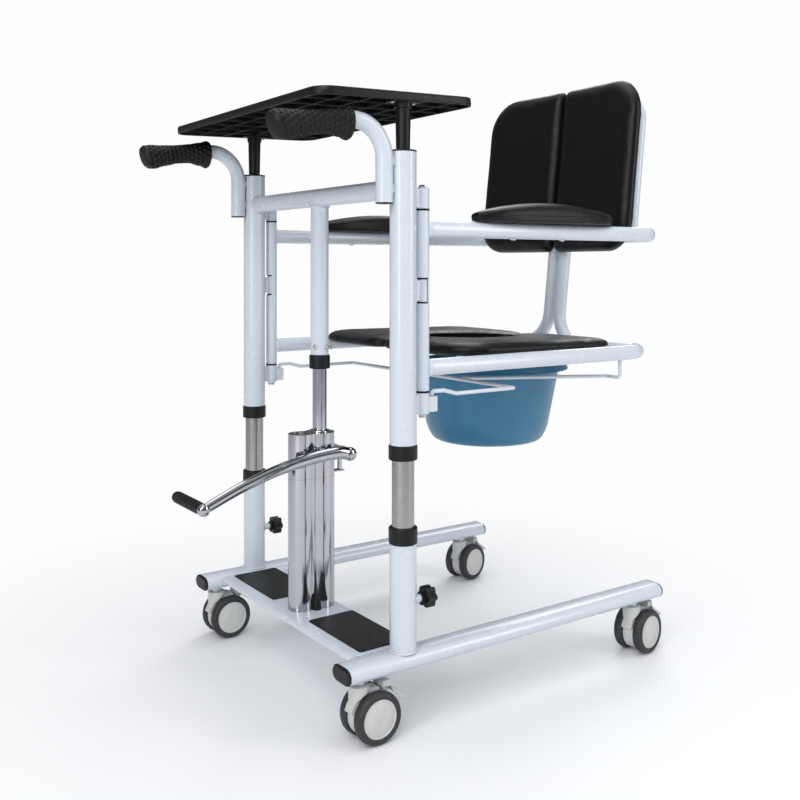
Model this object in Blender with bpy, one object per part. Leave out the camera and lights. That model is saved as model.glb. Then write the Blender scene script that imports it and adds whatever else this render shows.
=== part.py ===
"""A patient transfer lift: a hydraulic lift on casters with a split commode seat and a tray.

Lengths are in metres and +Z is up. +X points rearwards, from the push handles to the backrest,
and +Y points from the near side to the far side. Heights are above the floor. Inside this file
X is counted from the axis of the two columns, and the empty "lift_origin" moves the whole model
so that the middle of its bounding box stands on the world origin.
"""

import math

import bmesh
import bpy
from mathutils import Matrix, Vector

# Overall layout
COLUMN_WORLD_X = -0.2304
MIDDLE_WORLD_Y = -0.0059
COLUMN_Y = 0.307
FIT_GAP = 0.0003
SIDES = {"near": -1, "far": 1}

# Base rails and footplate
RAIL_WIDTH = 0.060
RAIL_HEIGHT = 0.030
RAIL_WALL = 0.002
RAIL_BOTTOM = 0.115
RAIL_FRONT = -0.130
RAIL_REAR = 0.683
RAIL_CAP_LENGTH = 0.006
RAIL_PLUG_LENGTH = 0.015
FOOTPLATE_FRONT = -0.096
FOOTPLATE_REAR = 0.040
FOOTPLATE_TOP = 0.143
FOOTPLATE_LIP_BOTTOM = 0.133
FOOTPLATE_SHEET = 0.003
FOOTPLATE_EDGE_RADIUS = 0.006
FOOT_PAD_LENGTH = 0.105
FOOT_PAD_WIDTH = 0.194
FOOT_PAD_CENTRE = (-0.018, 0.172)
FOOT_PAD_THICKNESS = 0.002

# Telescopic columns
LOWER_TUBE_RADIUS = 0.025
LOWER_TUBE_BORE = 0.022
LOWER_TUBE_TOP = 0.343
INNER_TUBE_RADIUS = 0.021
INNER_TUBE_BORE = 0.019
INNER_TUBE_TOP = 0.900
COLLAR_RADIUS = 0.027
COLLAR_BORE = 0.0214
LOWER_COLLAR_TOP = 0.374
UPPER_COLLAR_BOTTOM = 0.498
UPPER_TUBE_BOTTOM = 0.526
UPPER_TUBE_TOP = 1.067
KNOB_HEIGHT = 0.234
KNOB_BOSS_RADIUS = 0.0075
KNOB_BOSS_END = 0.038
KNOB_STUD_RADIUS = 0.004
KNOB_RADIUS = 0.0205
KNOB_LOBES = 6

# Hinges of the two half seats
HINGE_X = 0.045
HINGE_TUBE_RADIUS = 0.0125
HINGE_TUBE_BOTTOM = 0.622
HINGE_TUBE_TOP = 0.960
HINGE_PIN_RADIUS = 0.005
HINGE_BORE = 0.0053
WASHER_RADIUS = 0.013
WASHER_THICKNESS = 0.003
TOP_LUG = (0.9636, 1.002)
MIDDLE_LUG = (0.789, 0.831)
BOTTOM_LUG = (0.579, 0.6184)
LUG_RADIUS = 0.0125
MIDDLE_LUG_RADIUS = 0.0095
NOTCH_POCKET_RADIUS = 0.0108
NOTCH_TURN = math.radians(24)
LUG_WEB = 0.010
WIRE_BLOCK_REAR = 0.073

# Half seat frames
FRAME_TUBE = 0.016
POST_TUBE = 0.015
LOOP_TUBE = 0.0125
ARMREST_HEIGHT = 0.926
ARMREST_REAR = 0.703
ARMREST_BEND = 0.050
SEAT_HEIGHT = 0.665
SEAT_REAR = 0.667
SEAT_BEND = 0.055
POST_Y = 0.018
RAIL_END_Y = 0.004
POST_BEND = 0.075
LOOP_OUTER_Y = 0.2365
LOOP_INNER_Y = 0.040
LOOP_TOP = 1.242
LOOP_BEND = 0.045
LOOP_OUTER_X = 0.6960
LOOP_INNER_X = 0.7095
BACK_LEAN = 0.116

# Wires under the seat
WIRE_RADIUS = 0.004
WIRE_HEIGHT = 0.611
RACK_CROSS_X = 0.274
RACK_WIRE_START_X = 0.0655
SEAT_WIRE_X = 0.581
SEAT_WIRE_BEND_Y = 0.268
SEAT_WIRE_END = (0.290, 0.120)

# Seat pads, armrest pads and backrest cushions
SEAT_PAD_BOTTOM = 0.675
SEAT_PAD_TOP_FRONT = 0.7000
SEAT_PAD_TOP_REAR = 0.6880
SEAT_PAD_FRONT = 0.138
SEAT_PAD_REAR = 0.602
SEAT_PAD_OUTER_Y = 0.2895
SEAT_PAD_INNER_Y = 0.004
COMMODE_CENTRE_X = 0.395
COMMODE_HALF_LENGTH = 0.125
COMMODE_HALF_WIDTH = 0.100
ARM_PAD_FRONT = 0.168
ARM_PAD_REAR = 0.547
ARM_PAD_WIDTH = 0.070
ARM_PAD_EDGE = 0.012
ARM_PAD_CROWN = 0.030
CUSHION_BOTTOM = 0.890
CUSHION_TOP = 1.302
CUSHION_OUTER_Y = 0.2585
CUSHION_INNER_Y = 0.004
CUSHION_THICKNESS = 0.0335
CUSHION_FRONT_AT_ARMREST = 0.660
CUSHION_WRAP = 0.0156
CUSHION_TOP_CORNER = 0.075
CUSHION_BOTTOM_CORNER = 0.062

# Hydraulic pump and its lever
PUMP_FRONT_X = -0.045
PUMP_FRONT_RADIUS = 0.027
PUMP_REAR_RADIUS = 0.0315
PUMP_FILLET = 0.012
PUMP_FLOOR = 0.150
PUMP_BODY_TOP = 0.415
PUMP_HEAD_TOP = 0.507
PUMP_BORE = 0.024
ROD_RADIUS = 0.015
ROD_BORE = 0.0153
ROD_TOP = 0.740
PISTON_RADIUS = 0.0235
PISTON_BOTTOM = 0.300
PISTON_HEIGHT = 0.020
LEVER_PIVOT = (0.045, 0.462)
LEVER_Y = -0.049
LEVER_SHAFT_RADIUS = 0.005
LEVER_HUB_RADIUS = 0.011
LEVER_BOSS_RADIUS = 0.0145
LEVER_GRIP_RADIUS = 0.012
LEVER_GRIP_END_Y = 0.091
LEVER_STUB_RADIUS = 0.008
EAR_INNER_Y = 0.016
EAR_OUTER_Y = 0.024
EAR_RADIUS = 0.013

# Lift tube, crossbar and push handles
CROSSBAR_RADIUS = 0.019
CROSSBAR_HEIGHT = 1.000
LIFT_TUBE_BOTTOM = 0.669
LIFT_TUBE_BORE = 0.0155
LIFT_COLLAR_BOTTOM = 0.640
LIFT_COLLAR_RADIUS = 0.022
HANDLE_TUBE = 0.016
HANDLE_X = -0.042
HANDLE_BOTTOM = 0.972
HANDLE_CORNER_HEIGHT = 1.1272
HANDLE_BEND = 0.065
HANDLE_END_X = -0.172
HANDLE_SLOPE = 0.123
GRIP_REAR_X = -0.119
GRIP_LENGTH = 0.152

# Tray and its two posts
TRAY_FRONT = -0.194
TRAY_REAR = 0.162
TRAY_HALF_WIDTH = 0.329
TRAY_BOTTOM = 1.1600
TRAY_TOP = 1.1762
TRAY_TILT = math.radians(1.8)
TRAY_CORNER = 0.035
TRAY_RIM = 0.004
TRAY_RECESS = 0.003
TRAY_FLOOR = 0.003
TRAY_SOCKET_RADIUS = 0.0165
TRAY_SOCKET_BOTTOM = 1.148
POST_PEG_RADIUS = 0.0125
POST_PEG_TOP = 1.166

# Commode bucket
BUCKET_X = 0.458
BUCKET_WALL = 0.003
BUCKET_RIM_RADIUS = 0.190
BUCKET_RIM_BOTTOM = 0.6156
BUCKET_RIM_TOP = 0.631
BUCKET_BOTTOM = 0.444

# Casters
FRONT_STEM_X = -0.097
REAR_STEM_X = 0.618
CASTER_TRAIL = 0.025
WHEEL_RADIUS = 0.0475
WHEEL_WIDTH = 0.022
WHEEL_INNER_Y = 0.0128
HUB_RADIUS = 0.035
HOUSING_RADIUS = 0.0415
HOUSING_ARCH_RADIUS = 0.0495
HOUSING_HALF_WIDTH = 0.012
AXLE_RADIUS = 0.005
AXLE_BORE = 0.0053
STEM_BOSS_RADIUS = 0.019
STEM_BOSS_TOP = 0.105
STEM_RADIUS = 0.006
STEM_TOP = 0.128
PEDAL_PIVOT = (0.050, 0.0885)
PEDAL_HALF_WIDTH = 0.016
REAR_SWIVEL = {"near": math.radians(10), "far": math.radians(13)}

ROUND = 20
SMALL_ROUND = 12
WHEEL_ROUND = 24
TUBE_ROUND = 12
BUCKET_ROUND = 32


# Scene and materials


def clear_scene():
    for obj in list(bpy.data.objects):
        bpy.data.objects.remove(obj, do_unlink=True)


def make_material(name, colour, roughness, metallic=0.0):
    material = bpy.data.materials.new(name)
    material.use_nodes = True
    shader = material.node_tree.nodes["Principled BSDF"]
    shader.inputs["Base Color"].default_value = (*colour, 1.0)
    shader.inputs["Roughness"].default_value = roughness
    shader.inputs["Metallic"].default_value = metallic
    material.diffuse_color = (*colour, 1.0)
    return material


def make_materials():
    recipes = {
        "white_paint": ((0.80, 0.84, 0.90), 0.25, 0.0),
        "chrome": ((0.80, 0.80, 0.82), 0.08, 1.0),
        "stainless": ((0.55, 0.52, 0.48), 0.30, 1.0),
        "black_plastic": ((0.02, 0.02, 0.022), 0.45, 0.0),
        "black_rubber": ((0.025, 0.025, 0.028), 0.60, 0.0),
        "black_leather": ((0.020, 0.020, 0.022), 0.40, 0.0),
        "grey_plastic": ((0.66, 0.66, 0.67), 0.45, 0.0),
        "blue_plastic": ((0.05, 0.22, 0.36), 0.35, 0.0),
        "zinc": ((0.62, 0.64, 0.66), 0.35, 1.0),
    }
    return {name: make_material(name, *recipe) for name, recipe in recipes.items()}


class Model:
    """Puts each solid under the empty of its moving body, with its origin on the joint's axis."""

    def __init__(self, materials):
        self.materials = materials
        self.bodies = {}
        self.origin = self.new_empty("lift_origin", None, Vector((COLUMN_WORLD_X, MIDDLE_WORLD_Y, 0)))

    def new_empty(self, name, parent, location):
        empty = bpy.data.objects.new(name, None)
        empty.empty_display_size = 0.04
        empty.location = location
        empty.parent = parent
        bpy.context.scene.collection.objects.link(empty)
        return empty

    def add_body(self, name, pivot=(0, 0, 0), turn=0.0):
        """A body whose axis passes through pivot. turn swivels its pieces about Z there."""
        pivot = Vector(pivot)
        empty = self.new_empty(f"{name}_axis", self.origin, pivot)
        empty.rotation_euler.z = turn
        self.bodies[name] = (empty, pivot)

    def add(self, name, shape, material, body, smooth_angle=35):
        empty, pivot = self.bodies[body]
        bmesh.ops.translate(shape, verts=shape.verts, vec=-pivot)
        mesh = bpy.data.meshes.new(name)
        shape.to_mesh(mesh)
        shape.free()
        mesh.shade_smooth()
        mesh.set_sharp_from_angle(angle=math.radians(smooth_angle))
        mesh.materials.append(self.materials[material])
        obj = bpy.data.objects.new(name, mesh)
        obj.parent = empty
        bpy.context.scene.collection.objects.link(obj)
        return obj


# Shapes


def outward(shape):
    bmesh.ops.recalc_face_normals(shape, faces=shape.faces)
    return shape


def join_rings(shape, first, second):
    """Faces between two rings of vertices, either of which may be one vertex."""
    count = max(len(first), len(second))
    for i in range(count):
        j = (i + 1) % count
        corners = [first[i % len(first)], first[j % len(first)]]
        corners += [second[j % len(second)], second[i % len(second)]]
        distinct = list(dict.fromkeys(corners))
        if len(distinct) > 2:
            shape.faces.new(distinct)


def turned(profile, segments=ROUND, centre=(0, 0, 0), axis="Z", hollow=False):
    """A solid turned about an axis through centre. The profile is a list of (radius, height)."""
    turn = {
        "Z": Matrix.Identity(3),
        "X": Matrix(((0, 0, 1), (0, 1, 0), (-1, 0, 0))),
        "Y": Matrix(((1, 0, 0), (0, 0, 1), (0, -1, 0))),
    }[axis]
    centre = Vector(centre)
    shape = bmesh.new()
    rings = []
    for radius, height in profile:
        ring = []
        for i in range(segments if radius > 0 else 1):
            angle = 2 * math.pi * i / segments
            point = Vector((radius * math.cos(angle), radius * math.sin(angle), height))
            ring.append(shape.verts.new(centre + turn @ point))
        rings.append(ring)
    for first, second in zip(rings, rings[1:]):
        join_rings(shape, first, second)
    if hollow:
        join_rings(shape, rings[-1], rings[0])
    else:
        for ring in (rings[0], rings[-1]):
            if len(ring) > 1:
                shape.faces.new(ring)
    return outward(shape)


def cylinder(radius, low, high, centre=(0, 0, 0), axis="Z", segments=ROUND):
    return turned([(radius, low), (radius, high)], segments, centre, axis)


def pipe(outer, inner, low, high, centre=(0, 0, 0), segments=ROUND):
    profile = [(outer, low), (outer, high), (inner, high), (inner, low)]
    return turned(profile, segments, centre, hollow=True)


def prism(outline, low, high, across="Z"):
    """A closed outline of (u, v) points extruded along one axis."""
    places = {
        "Z": lambda u, v, w: (u, v, w),
        "Y": lambda u, v, w: (u, w, v),
        "X": lambda u, v, w: (w, u, v),
    }
    place = places[across]
    shape = bmesh.new()
    bottom = [shape.verts.new(place(u, v, low)) for u, v in outline]
    top = [shape.verts.new(place(u, v, high)) for u, v in outline]
    shape.faces.new(bottom)
    shape.faces.new(top)
    join_rings(shape, bottom, top)
    return outward(shape)


def box(low, high):
    outline = [(low[0], low[1]), (high[0], low[1]), (high[0], high[1]), (low[0], high[1])]
    return prism(outline, low[2], high[2])


def lofted(sections):
    """A solid through rings of points, capped at both ends."""
    shape = bmesh.new()
    rings = [[shape.verts.new(point) for point in section] for section in sections]
    for first, second in zip(rings, rings[1:]):
        join_rings(shape, first, second)
    shape.faces.new(rings[0])
    shape.faces.new(rings[-1])
    return outward(shape)


def arc(centre, radius, start, end, steps):
    """Points on an arc in degrees, ends included."""
    points = []
    for i in range(steps + 1):
        angle = math.radians(start + (end - start) * i / steps)
        points.append((centre[0] + radius * math.cos(angle), centre[1] + radius * math.sin(angle)))
    return points


def rounded_rectangle(low, high, radii, steps=4):
    """An outline whose corners, from low and counterclockwise, have the given radii."""
    corners = [(low[0], low[1], 1, 1), (high[0], low[1], -1, 1)]
    corners += [(high[0], high[1], -1, -1), (low[0], high[1], 1, -1)]
    points = []
    for i, (x, y, inward_x, inward_y) in enumerate(corners):
        radius = radii[i]
        centre = (x + inward_x * radius, y + inward_y * radius)
        points += arc(centre, radius, 180 + 90 * i, 270 + 90 * i, steps)
    return points


def flat_oval(width, height, centre, steps=5):
    """A stadium outline: two half circles joined by straight sides."""
    radius = height / 2
    offset = width / 2 - radius
    right = arc((centre[0] + offset, centre[1]), radius, -90, 90, steps)
    left = arc((centre[0] - offset, centre[1]), radius, 90, 270, steps)
    return right + left


def rounded_path(points, bend, steps=4):
    """A polyline whose inner corners are replaced by arcs of the bend radius."""
    points = [Vector(point) for point in points]
    path = [points[0]]
    for before, corner, after in zip(points, points[1:], points[2:]):
        inward = (before - corner).normalized()
        onward = (after - corner).normalized()
        half = inward.angle(onward) / 2
        centre = corner + (inward + onward).normalized() * (bend / math.sin(half))
        start = corner + inward * (bend / math.tan(half)) - centre
        end = corner + onward * (bend / math.tan(half)) - centre
        sweep = start.angle(end)
        for i in range(steps + 1):
            share = i / steps
            weight_start = math.sin((1 - share) * sweep) / math.sin(sweep)
            weight_end = math.sin(share * sweep) / math.sin(sweep)
            path.append(centre + start * weight_start + end * weight_end)
    path.append(points[-1])
    return path


def swept(path, radii, segments=TUBE_ROUND, side=None, flatness=1.0):
    """A round or oval bar along a path. flatness scales its width along the side direction."""
    path = [Vector(point) for point in path]
    if not isinstance(radii, list):
        radii = [radii] * len(path)
    tangents = []
    for i in range(len(path)):
        before = path[max(i - 1, 0)]
        after = path[min(i + 1, len(path) - 1)]
        tangents.append((after - before).normalized())
    side = Vector(side) if side else tangents[0].orthogonal().normalized()
    sections = []
    for point, tangent, radius in zip(path, tangents, radii):
        side = (side - tangent * side.dot(tangent)).normalized()
        upward = tangent.cross(side)
        ring = []
        for i in range(segments):
            angle = 2 * math.pi * i / segments
            across = side * (math.cos(angle) * radius * flatness)
            ring.append(point + across + upward * (math.sin(angle) * radius))
        sections.append(ring)
    return lofted(sections)


def twin_outline(grow=0.0, steps=12):
    """The pump's outline from above: two round bodies joined by hollow fillets."""
    front_radius = PUMP_FRONT_RADIUS + grow
    rear_radius = PUMP_REAR_RADIUS + grow
    fillet = PUMP_FILLET - grow
    to_front = front_radius + fillet
    to_rear = rear_radius + fillet
    span = -PUMP_FRONT_X
    fillet_x = PUMP_FRONT_X + (to_front**2 - to_rear**2 + span**2) / (2 * span)
    fillet_y = math.sqrt(to_rear**2 - fillet_x**2)
    rear_angle = math.degrees(math.atan2(fillet_y, fillet_x))
    front_angle = math.degrees(math.atan2(fillet_y, fillet_x - PUMP_FRONT_X))
    points = arc((0, 0), rear_radius, -rear_angle, rear_angle, steps)
    points += arc((fillet_x, fillet_y), fillet, rear_angle - 180, front_angle - 180, 4)[1:]
    points += arc((PUMP_FRONT_X, 0), front_radius, front_angle, 360 - front_angle, steps)[1:]
    points += arc((fillet_x, -fillet_y), fillet, 180 - front_angle, 180 - rear_angle, 4)[1:-1]
    return points


def combined(base, other, operation):
    """The Boolean of two shapes, which are used up."""
    objects = []
    for shape in (base, other):
        mesh = bpy.data.meshes.new("boolean_operand")
        shape.to_mesh(mesh)
        shape.free()
        obj = bpy.data.objects.new("boolean_operand", mesh)
        bpy.context.scene.collection.objects.link(obj)
        objects.append(obj)
    modifier = objects[0].modifiers.new("boolean", "BOOLEAN")
    modifier.object = objects[1]
    modifier.operation = operation
    modifier.solver = "EXACT"
    graph = bpy.context.evaluated_depsgraph_get()
    result = bmesh.new()
    result.from_object(objects[0], graph)
    for obj in objects:
        mesh = obj.data
        bpy.data.objects.remove(obj, do_unlink=True)
        bpy.data.meshes.remove(mesh)
    return result


def united(base, *others):
    for other in others:
        base = combined(base, other, "UNION")
    return base


def reduced(base, *cutters):
    for cutter in cutters:
        base = combined(base, cutter, "DIFFERENCE")
    return base


# Base


def build_rails(model):
    middle = RAIL_BOTTOM + RAIL_HEIGHT / 2
    inner_width = RAIL_WIDTH - 2 * RAIL_WALL
    inner_height = RAIL_HEIGHT - 2 * RAIL_WALL
    for side, sign in SIDES.items():
        centre = (sign * COLUMN_Y, middle)
        outer = flat_oval(RAIL_WIDTH, RAIL_HEIGHT, centre)
        inner = flat_oval(inner_width, inner_height, centre)
        rail = prism(outer, RAIL_FRONT, RAIL_REAR, "X")
        rail = reduced(rail, prism(inner, RAIL_FRONT - 0.01, RAIL_REAR + 0.01, "X"))
        for stem_x in (FRONT_STEM_X, REAR_STEM_X):
            centre_point = (stem_x, sign * COLUMN_Y, 0)
            hole = cylinder(STEM_RADIUS + 0.0006, 0.110, 0.122, centre_point, segments=SMALL_ROUND)
            rail = reduced(rail, hole)
        model.add(f"rail_{side}", rail, "white_paint", "base")
        for end, face, direction in (("front", RAIL_FRONT, -1), ("rear", RAIL_REAR, 1)):
            cap = build_rail_cap(sign, middle, face, direction)
            model.add(f"rail_cap_{end}_{side}", cap, "black_plastic", "base")


def build_rail_cap(sign, middle, face, direction):
    """An end cap with a plug inside the rail and a rounded nose outside it."""
    plug = 2 * (RAIL_WALL + FIT_GAP)
    stages = [(-RAIL_PLUG_LENGTH, plug), (FIT_GAP, plug), (FIT_GAP, 0.0)]
    stages += [(0.6 * RAIL_CAP_LENGTH, 0.0005), (RAIL_CAP_LENGTH, 0.006)]
    sections = []
    for along, less in stages:
        outline = flat_oval(RAIL_WIDTH - less, RAIL_HEIGHT - less, (sign * COLUMN_Y, middle))
        sections.append([(face + direction * along, y, z) for y, z in outline])
    return lofted(sections)


def build_footplate(model):
    """A sheet between the rails, with its front and rear edges folded down into short lips."""
    half = COLUMN_Y - RAIL_WIDTH / 2 - FIT_GAP
    radius = FOOTPLATE_EDGE_RADIUS
    sheet = FOOTPLATE_SHEET
    front, rear, top = FOOTPLATE_FRONT, FOOTPLATE_REAR, FOOTPLATE_TOP
    lip = FOOTPLATE_LIP_BOTTOM
    outline = [(rear, lip)]
    outline += arc((rear - radius, top - radius), radius, 0, 90, 4)
    outline += arc((front + radius, top - radius), radius, 90, 180, 4)
    outline += [(front, lip), (front + sheet, lip)]
    outline += arc((front + radius, top - radius), radius - sheet, 180, 90, 4)
    outline += arc((rear - radius, top - radius), radius - sheet, 90, 0, 4)
    outline += [(rear - sheet, lip)]
    model.add("footplate", prism(outline, -half, half, "Y"), "white_paint", "base")
    pad_x, pad_y = FOOT_PAD_CENTRE
    for side, sign in SIDES.items():
        low = (pad_x - FOOT_PAD_LENGTH / 2, sign * pad_y - FOOT_PAD_WIDTH / 2)
        high = (pad_x + FOOT_PAD_LENGTH / 2, sign * pad_y + FOOT_PAD_WIDTH / 2)
        outline = rounded_rectangle(low, high, [0.005] * 4, 3)
        bottom = FOOTPLATE_TOP + FIT_GAP
        pad = prism(outline, bottom, bottom + FOOT_PAD_THICKNESS)
        model.add(f"foot_pad_{side}", pad, "black_rubber", "base")


def build_lower_columns(model):
    for side, sign in SIDES.items():
        centre = (0, sign * COLUMN_Y, 0)
        rail_top = RAIL_BOTTOM + RAIL_HEIGHT
        tube = pipe(LOWER_TUBE_RADIUS, LOWER_TUBE_BORE, rail_top + FIT_GAP, LOWER_TUBE_TOP, centre)
        at_knob = (0, sign * COLUMN_Y, KNOB_HEIGHT)
        boss = cylinder(KNOB_BOSS_RADIUS, 0.0235, KNOB_BOSS_END, at_knob, "X", SMALL_ROUND)
        bore = cylinder(KNOB_STUD_RADIUS + FIT_GAP, 0.018, 0.045, at_knob, "X", SMALL_ROUND)
        tube = reduced(united(tube, boss), bore)
        model.add(f"lower_column_{side}", tube, "white_paint", "base")
        bottom = rail_top + 0.002
        inner = pipe(INNER_TUBE_RADIUS, INNER_TUBE_BORE, bottom, INNER_TUBE_TOP, centre)
        model.add(f"inner_column_{side}", inner, "stainless", "base")
        collar = build_collar(centre, LOWER_TUBE_TOP + FIT_GAP, LOWER_COLLAR_TOP)
        model.add(f"lower_collar_{side}", collar, "black_plastic", "base")


def build_collar(centre, low, high, radius=COLLAR_RADIUS, bore=COLLAR_BORE):
    chamfer = 0.0015
    profile = [(bore, low), (radius - chamfer, low), (radius, low + chamfer)]
    profile += [(radius, high - chamfer), (radius - chamfer, high), (bore, high)]
    return turned(profile, ROUND, centre, hollow=True)


def build_knobs(model):
    """Star knobs whose studs pass through the bosses on the lower columns."""
    hub_radius = 0.010
    hub_end = 0.046
    head_end = 0.066
    for side, sign in SIDES.items():
        axis_point = (0, sign * COLUMN_Y, KNOB_HEIGHT)
        stud = cylinder(KNOB_STUD_RADIUS, 0.0215, hub_end, axis_point, "X", SMALL_ROUND)
        hub = cylinder(hub_radius, KNOB_BOSS_END + FIT_GAP, hub_end + 0.002, axis_point, "X", ROUND)
        outline = []
        steps = 4 * KNOB_LOBES
        for i in range(steps):
            angle = 2 * math.pi * i / steps
            radius = KNOB_RADIUS * (0.87 + 0.13 * math.cos(KNOB_LOBES * angle))
            point = (radius * math.cos(angle), KNOB_HEIGHT + radius * math.sin(angle))
            outline.append((sign * COLUMN_Y + point[0], point[1]))
        head = prism(outline, hub_end, head_end, "X")
        model.add(f"clamp_knob_{side}", united(stud, hub, head), "black_plastic", f"knob_{side}")


# Hydraulic pump


def build_pump(model):
    floor = FOOTPLATE_TOP + FIT_GAP
    body = prism(twin_outline(), floor, PUMP_BODY_TOP)
    body = reduced(body, cylinder(PUMP_BORE, PUMP_FLOOR, PUMP_BODY_TOP + 0.01))
    model.add("pump_body", body, "chrome", "base")

    pivot_x, pivot_z = LEVER_PIVOT
    head = prism(twin_outline(), PUMP_BODY_TOP + FIT_GAP, PUMP_HEAD_TOP)
    for sign in SIDES.values():
        low, high = sorted((sign * EAR_INNER_Y, sign * EAR_OUTER_Y))
        plate = box((0.012, low, pivot_z - EAR_RADIUS), (pivot_x, high, pivot_z + EAR_RADIUS))
        tip = cylinder(EAR_RADIUS, low, high, (pivot_x, 0, pivot_z), "Y")
        head = united(head, united(plate, tip))
    rod_hole = cylinder(ROD_BORE, PUMP_BODY_TOP - 0.01, PUMP_HEAD_TOP + 0.01)
    shaft_hole = cylinder(HINGE_BORE, -0.04, 0.04, (pivot_x, 0, pivot_z), "Y", SMALL_ROUND)
    model.add("pump_head", reduced(head, rod_hole, shaft_hole), "chrome", "base")


def lever_path():
    """The arched centre line of the lever's arm, from its pivot to the grip."""
    points = [(0.045, 0.462), (0.017, 0.467), (-0.035, 0.464), (-0.086, 0.456)]
    points += [(-0.136, 0.445), (-0.200, 0.425), (-0.246, 0.407), (-0.283, 0.391)]
    return [(x, LEVER_Y, z) for x, z in points]


def build_lever(model):
    path = lever_path()
    radii = [0.0135 - 0.0035 * i / (len(path) - 1) for i in range(len(path))]
    arm = swept(path, radii, TUBE_ROUND, side=(0, 1, 0), flatness=0.7)
    pivot = (LEVER_PIVOT[0], 0, LEVER_PIVOT[1])
    half_boss = 0.0115
    boss = cylinder(LEVER_BOSS_RADIUS, LEVER_Y - half_boss, LEVER_Y + half_boss, pivot, "Y")
    shaft = cylinder(LEVER_SHAFT_RADIUS, LEVER_Y, EAR_OUTER_Y + 0.001, pivot, "Y", SMALL_ROUND)
    hub_half = EAR_INNER_Y - FIT_GAP
    hub = cylinder(LEVER_HUB_RADIUS, -hub_half, hub_half, pivot, "Y")
    tip_x, _, tip_z = path[-1]
    tip = (tip_x, 0, tip_z)
    eye = cylinder(0.0125, LEVER_Y - 0.010, LEVER_Y + 0.010, tip, "Y")
    stub = cylinder(LEVER_STUB_RADIUS, LEVER_Y, 0.050, tip, "Y", SMALL_ROUND)
    lever = united(arm, boss, shaft, hub, eye, stub)
    model.add("pump_lever", lever, "chrome", "lever")

    start = LEVER_Y + 0.010 + FIT_GAP
    end = LEVER_GRIP_END_Y
    radius = LEVER_GRIP_RADIUS
    bore = LEVER_STUB_RADIUS + FIT_GAP
    profile = [(bore, start), (radius - 0.001, start), (radius, start + 0.001)]
    profile += [(radius, end - 0.004), (radius - 0.004, end), (0, end), (0, 0.051), (bore, 0.051)]
    grip = turned(profile, ROUND, tip, "Y", hollow=True)
    model.add("lever_grip", grip, "black_rubber", "lever")


# Lifting carriage


def hinge_side(sign):
    return (HINGE_X, sign * COLUMN_Y, 0)


def build_upper_columns(model):
    for side, sign in SIDES.items():
        centre = (0, sign * COLUMN_Y, 0)
        y = sign * COLUMN_Y
        tube = pipe(LOWER_TUBE_RADIUS, LOWER_TUBE_BORE, UPPER_TUBE_BOTTOM, UPPER_TUBE_TOP, centre)
        for low, high in (TOP_LUG, MIDDLE_LUG, BOTTOM_LUG):
            middle = (low, high) == MIDDLE_LUG
            radius = MIDDLE_LUG_RADIUS if middle else LUG_RADIUS
            web_half = (0.7 if middle else 1.0) * LUG_WEB / 2
            inset = FIT_GAP if middle else 0.0
            low += inset
            high -= inset
            web = box((0.0235, y - web_half, low + 0.002), (HINGE_X, y + web_half, high - 0.002))
            knuckle = cylinder(radius, low, high, hinge_side(sign))
            tube = united(tube, united(web, knuckle))
        block_low = (HINGE_X, y - 0.009, BOTTOM_LUG[0] + 0.003)
        block_high = (WIRE_BLOCK_REAR, y + 0.009, BOTTOM_LUG[1] - 0.008)
        tube = united(tube, box(block_low, block_high))
        bore = cylinder(HINGE_BORE, 0.55, 1.03, hinge_side(sign), segments=SMALL_ROUND)
        tube = reduced(tube, bore)
        model.add(f"upper_column_{side}", tube, "white_paint", "carriage")
        collar = build_collar(centre, UPPER_COLLAR_BOTTOM, UPPER_TUBE_BOTTOM - FIT_GAP)
        model.add(f"upper_collar_{side}", collar, "black_plastic", "carriage")


def build_hinge_pins(model):
    """A pin with a domed head, a nut, and the thrust washers that carry the half seat."""
    pin, washer, small = HINGE_PIN_RADIUS, WASHER_RADIUS, NOTCH_POCKET_RADIUS - 0.0006
    gap = FIT_GAP
    for side, sign in SIDES.items():
        profile = [(0, 0.572), (0.0075, 0.572), (0.0075, BOTTOM_LUG[0] - gap)]
        profile += [(pin, BOTTOM_LUG[0] - gap)]
        washers = [(BOTTOM_LUG[1] + gap, HINGE_TUBE_BOTTOM - gap, washer)]
        washers += [(MIDDLE_LUG[0] - 0.0029, MIDDLE_LUG[0], small)]
        washers += [(MIDDLE_LUG[1], MIDDLE_LUG[1] + 0.0029, small)]
        washers += [(HINGE_TUBE_TOP + gap, TOP_LUG[0] - gap, washer)]
        for low, high, radius in washers:
            profile += [(pin, low), (radius, low), (radius, high), (pin, high)]
        head = TOP_LUG[1] + gap
        profile += [(pin, head), (0.0085, head), (0.0085, head + 0.003)]
        profile += [(0.005, head + 0.006), (0, head + 0.0065)]
        shape = turned(profile, SMALL_ROUND, hinge_side(sign))
        model.add(f"hinge_pin_{side}", shape, "zinc", "carriage")


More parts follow.
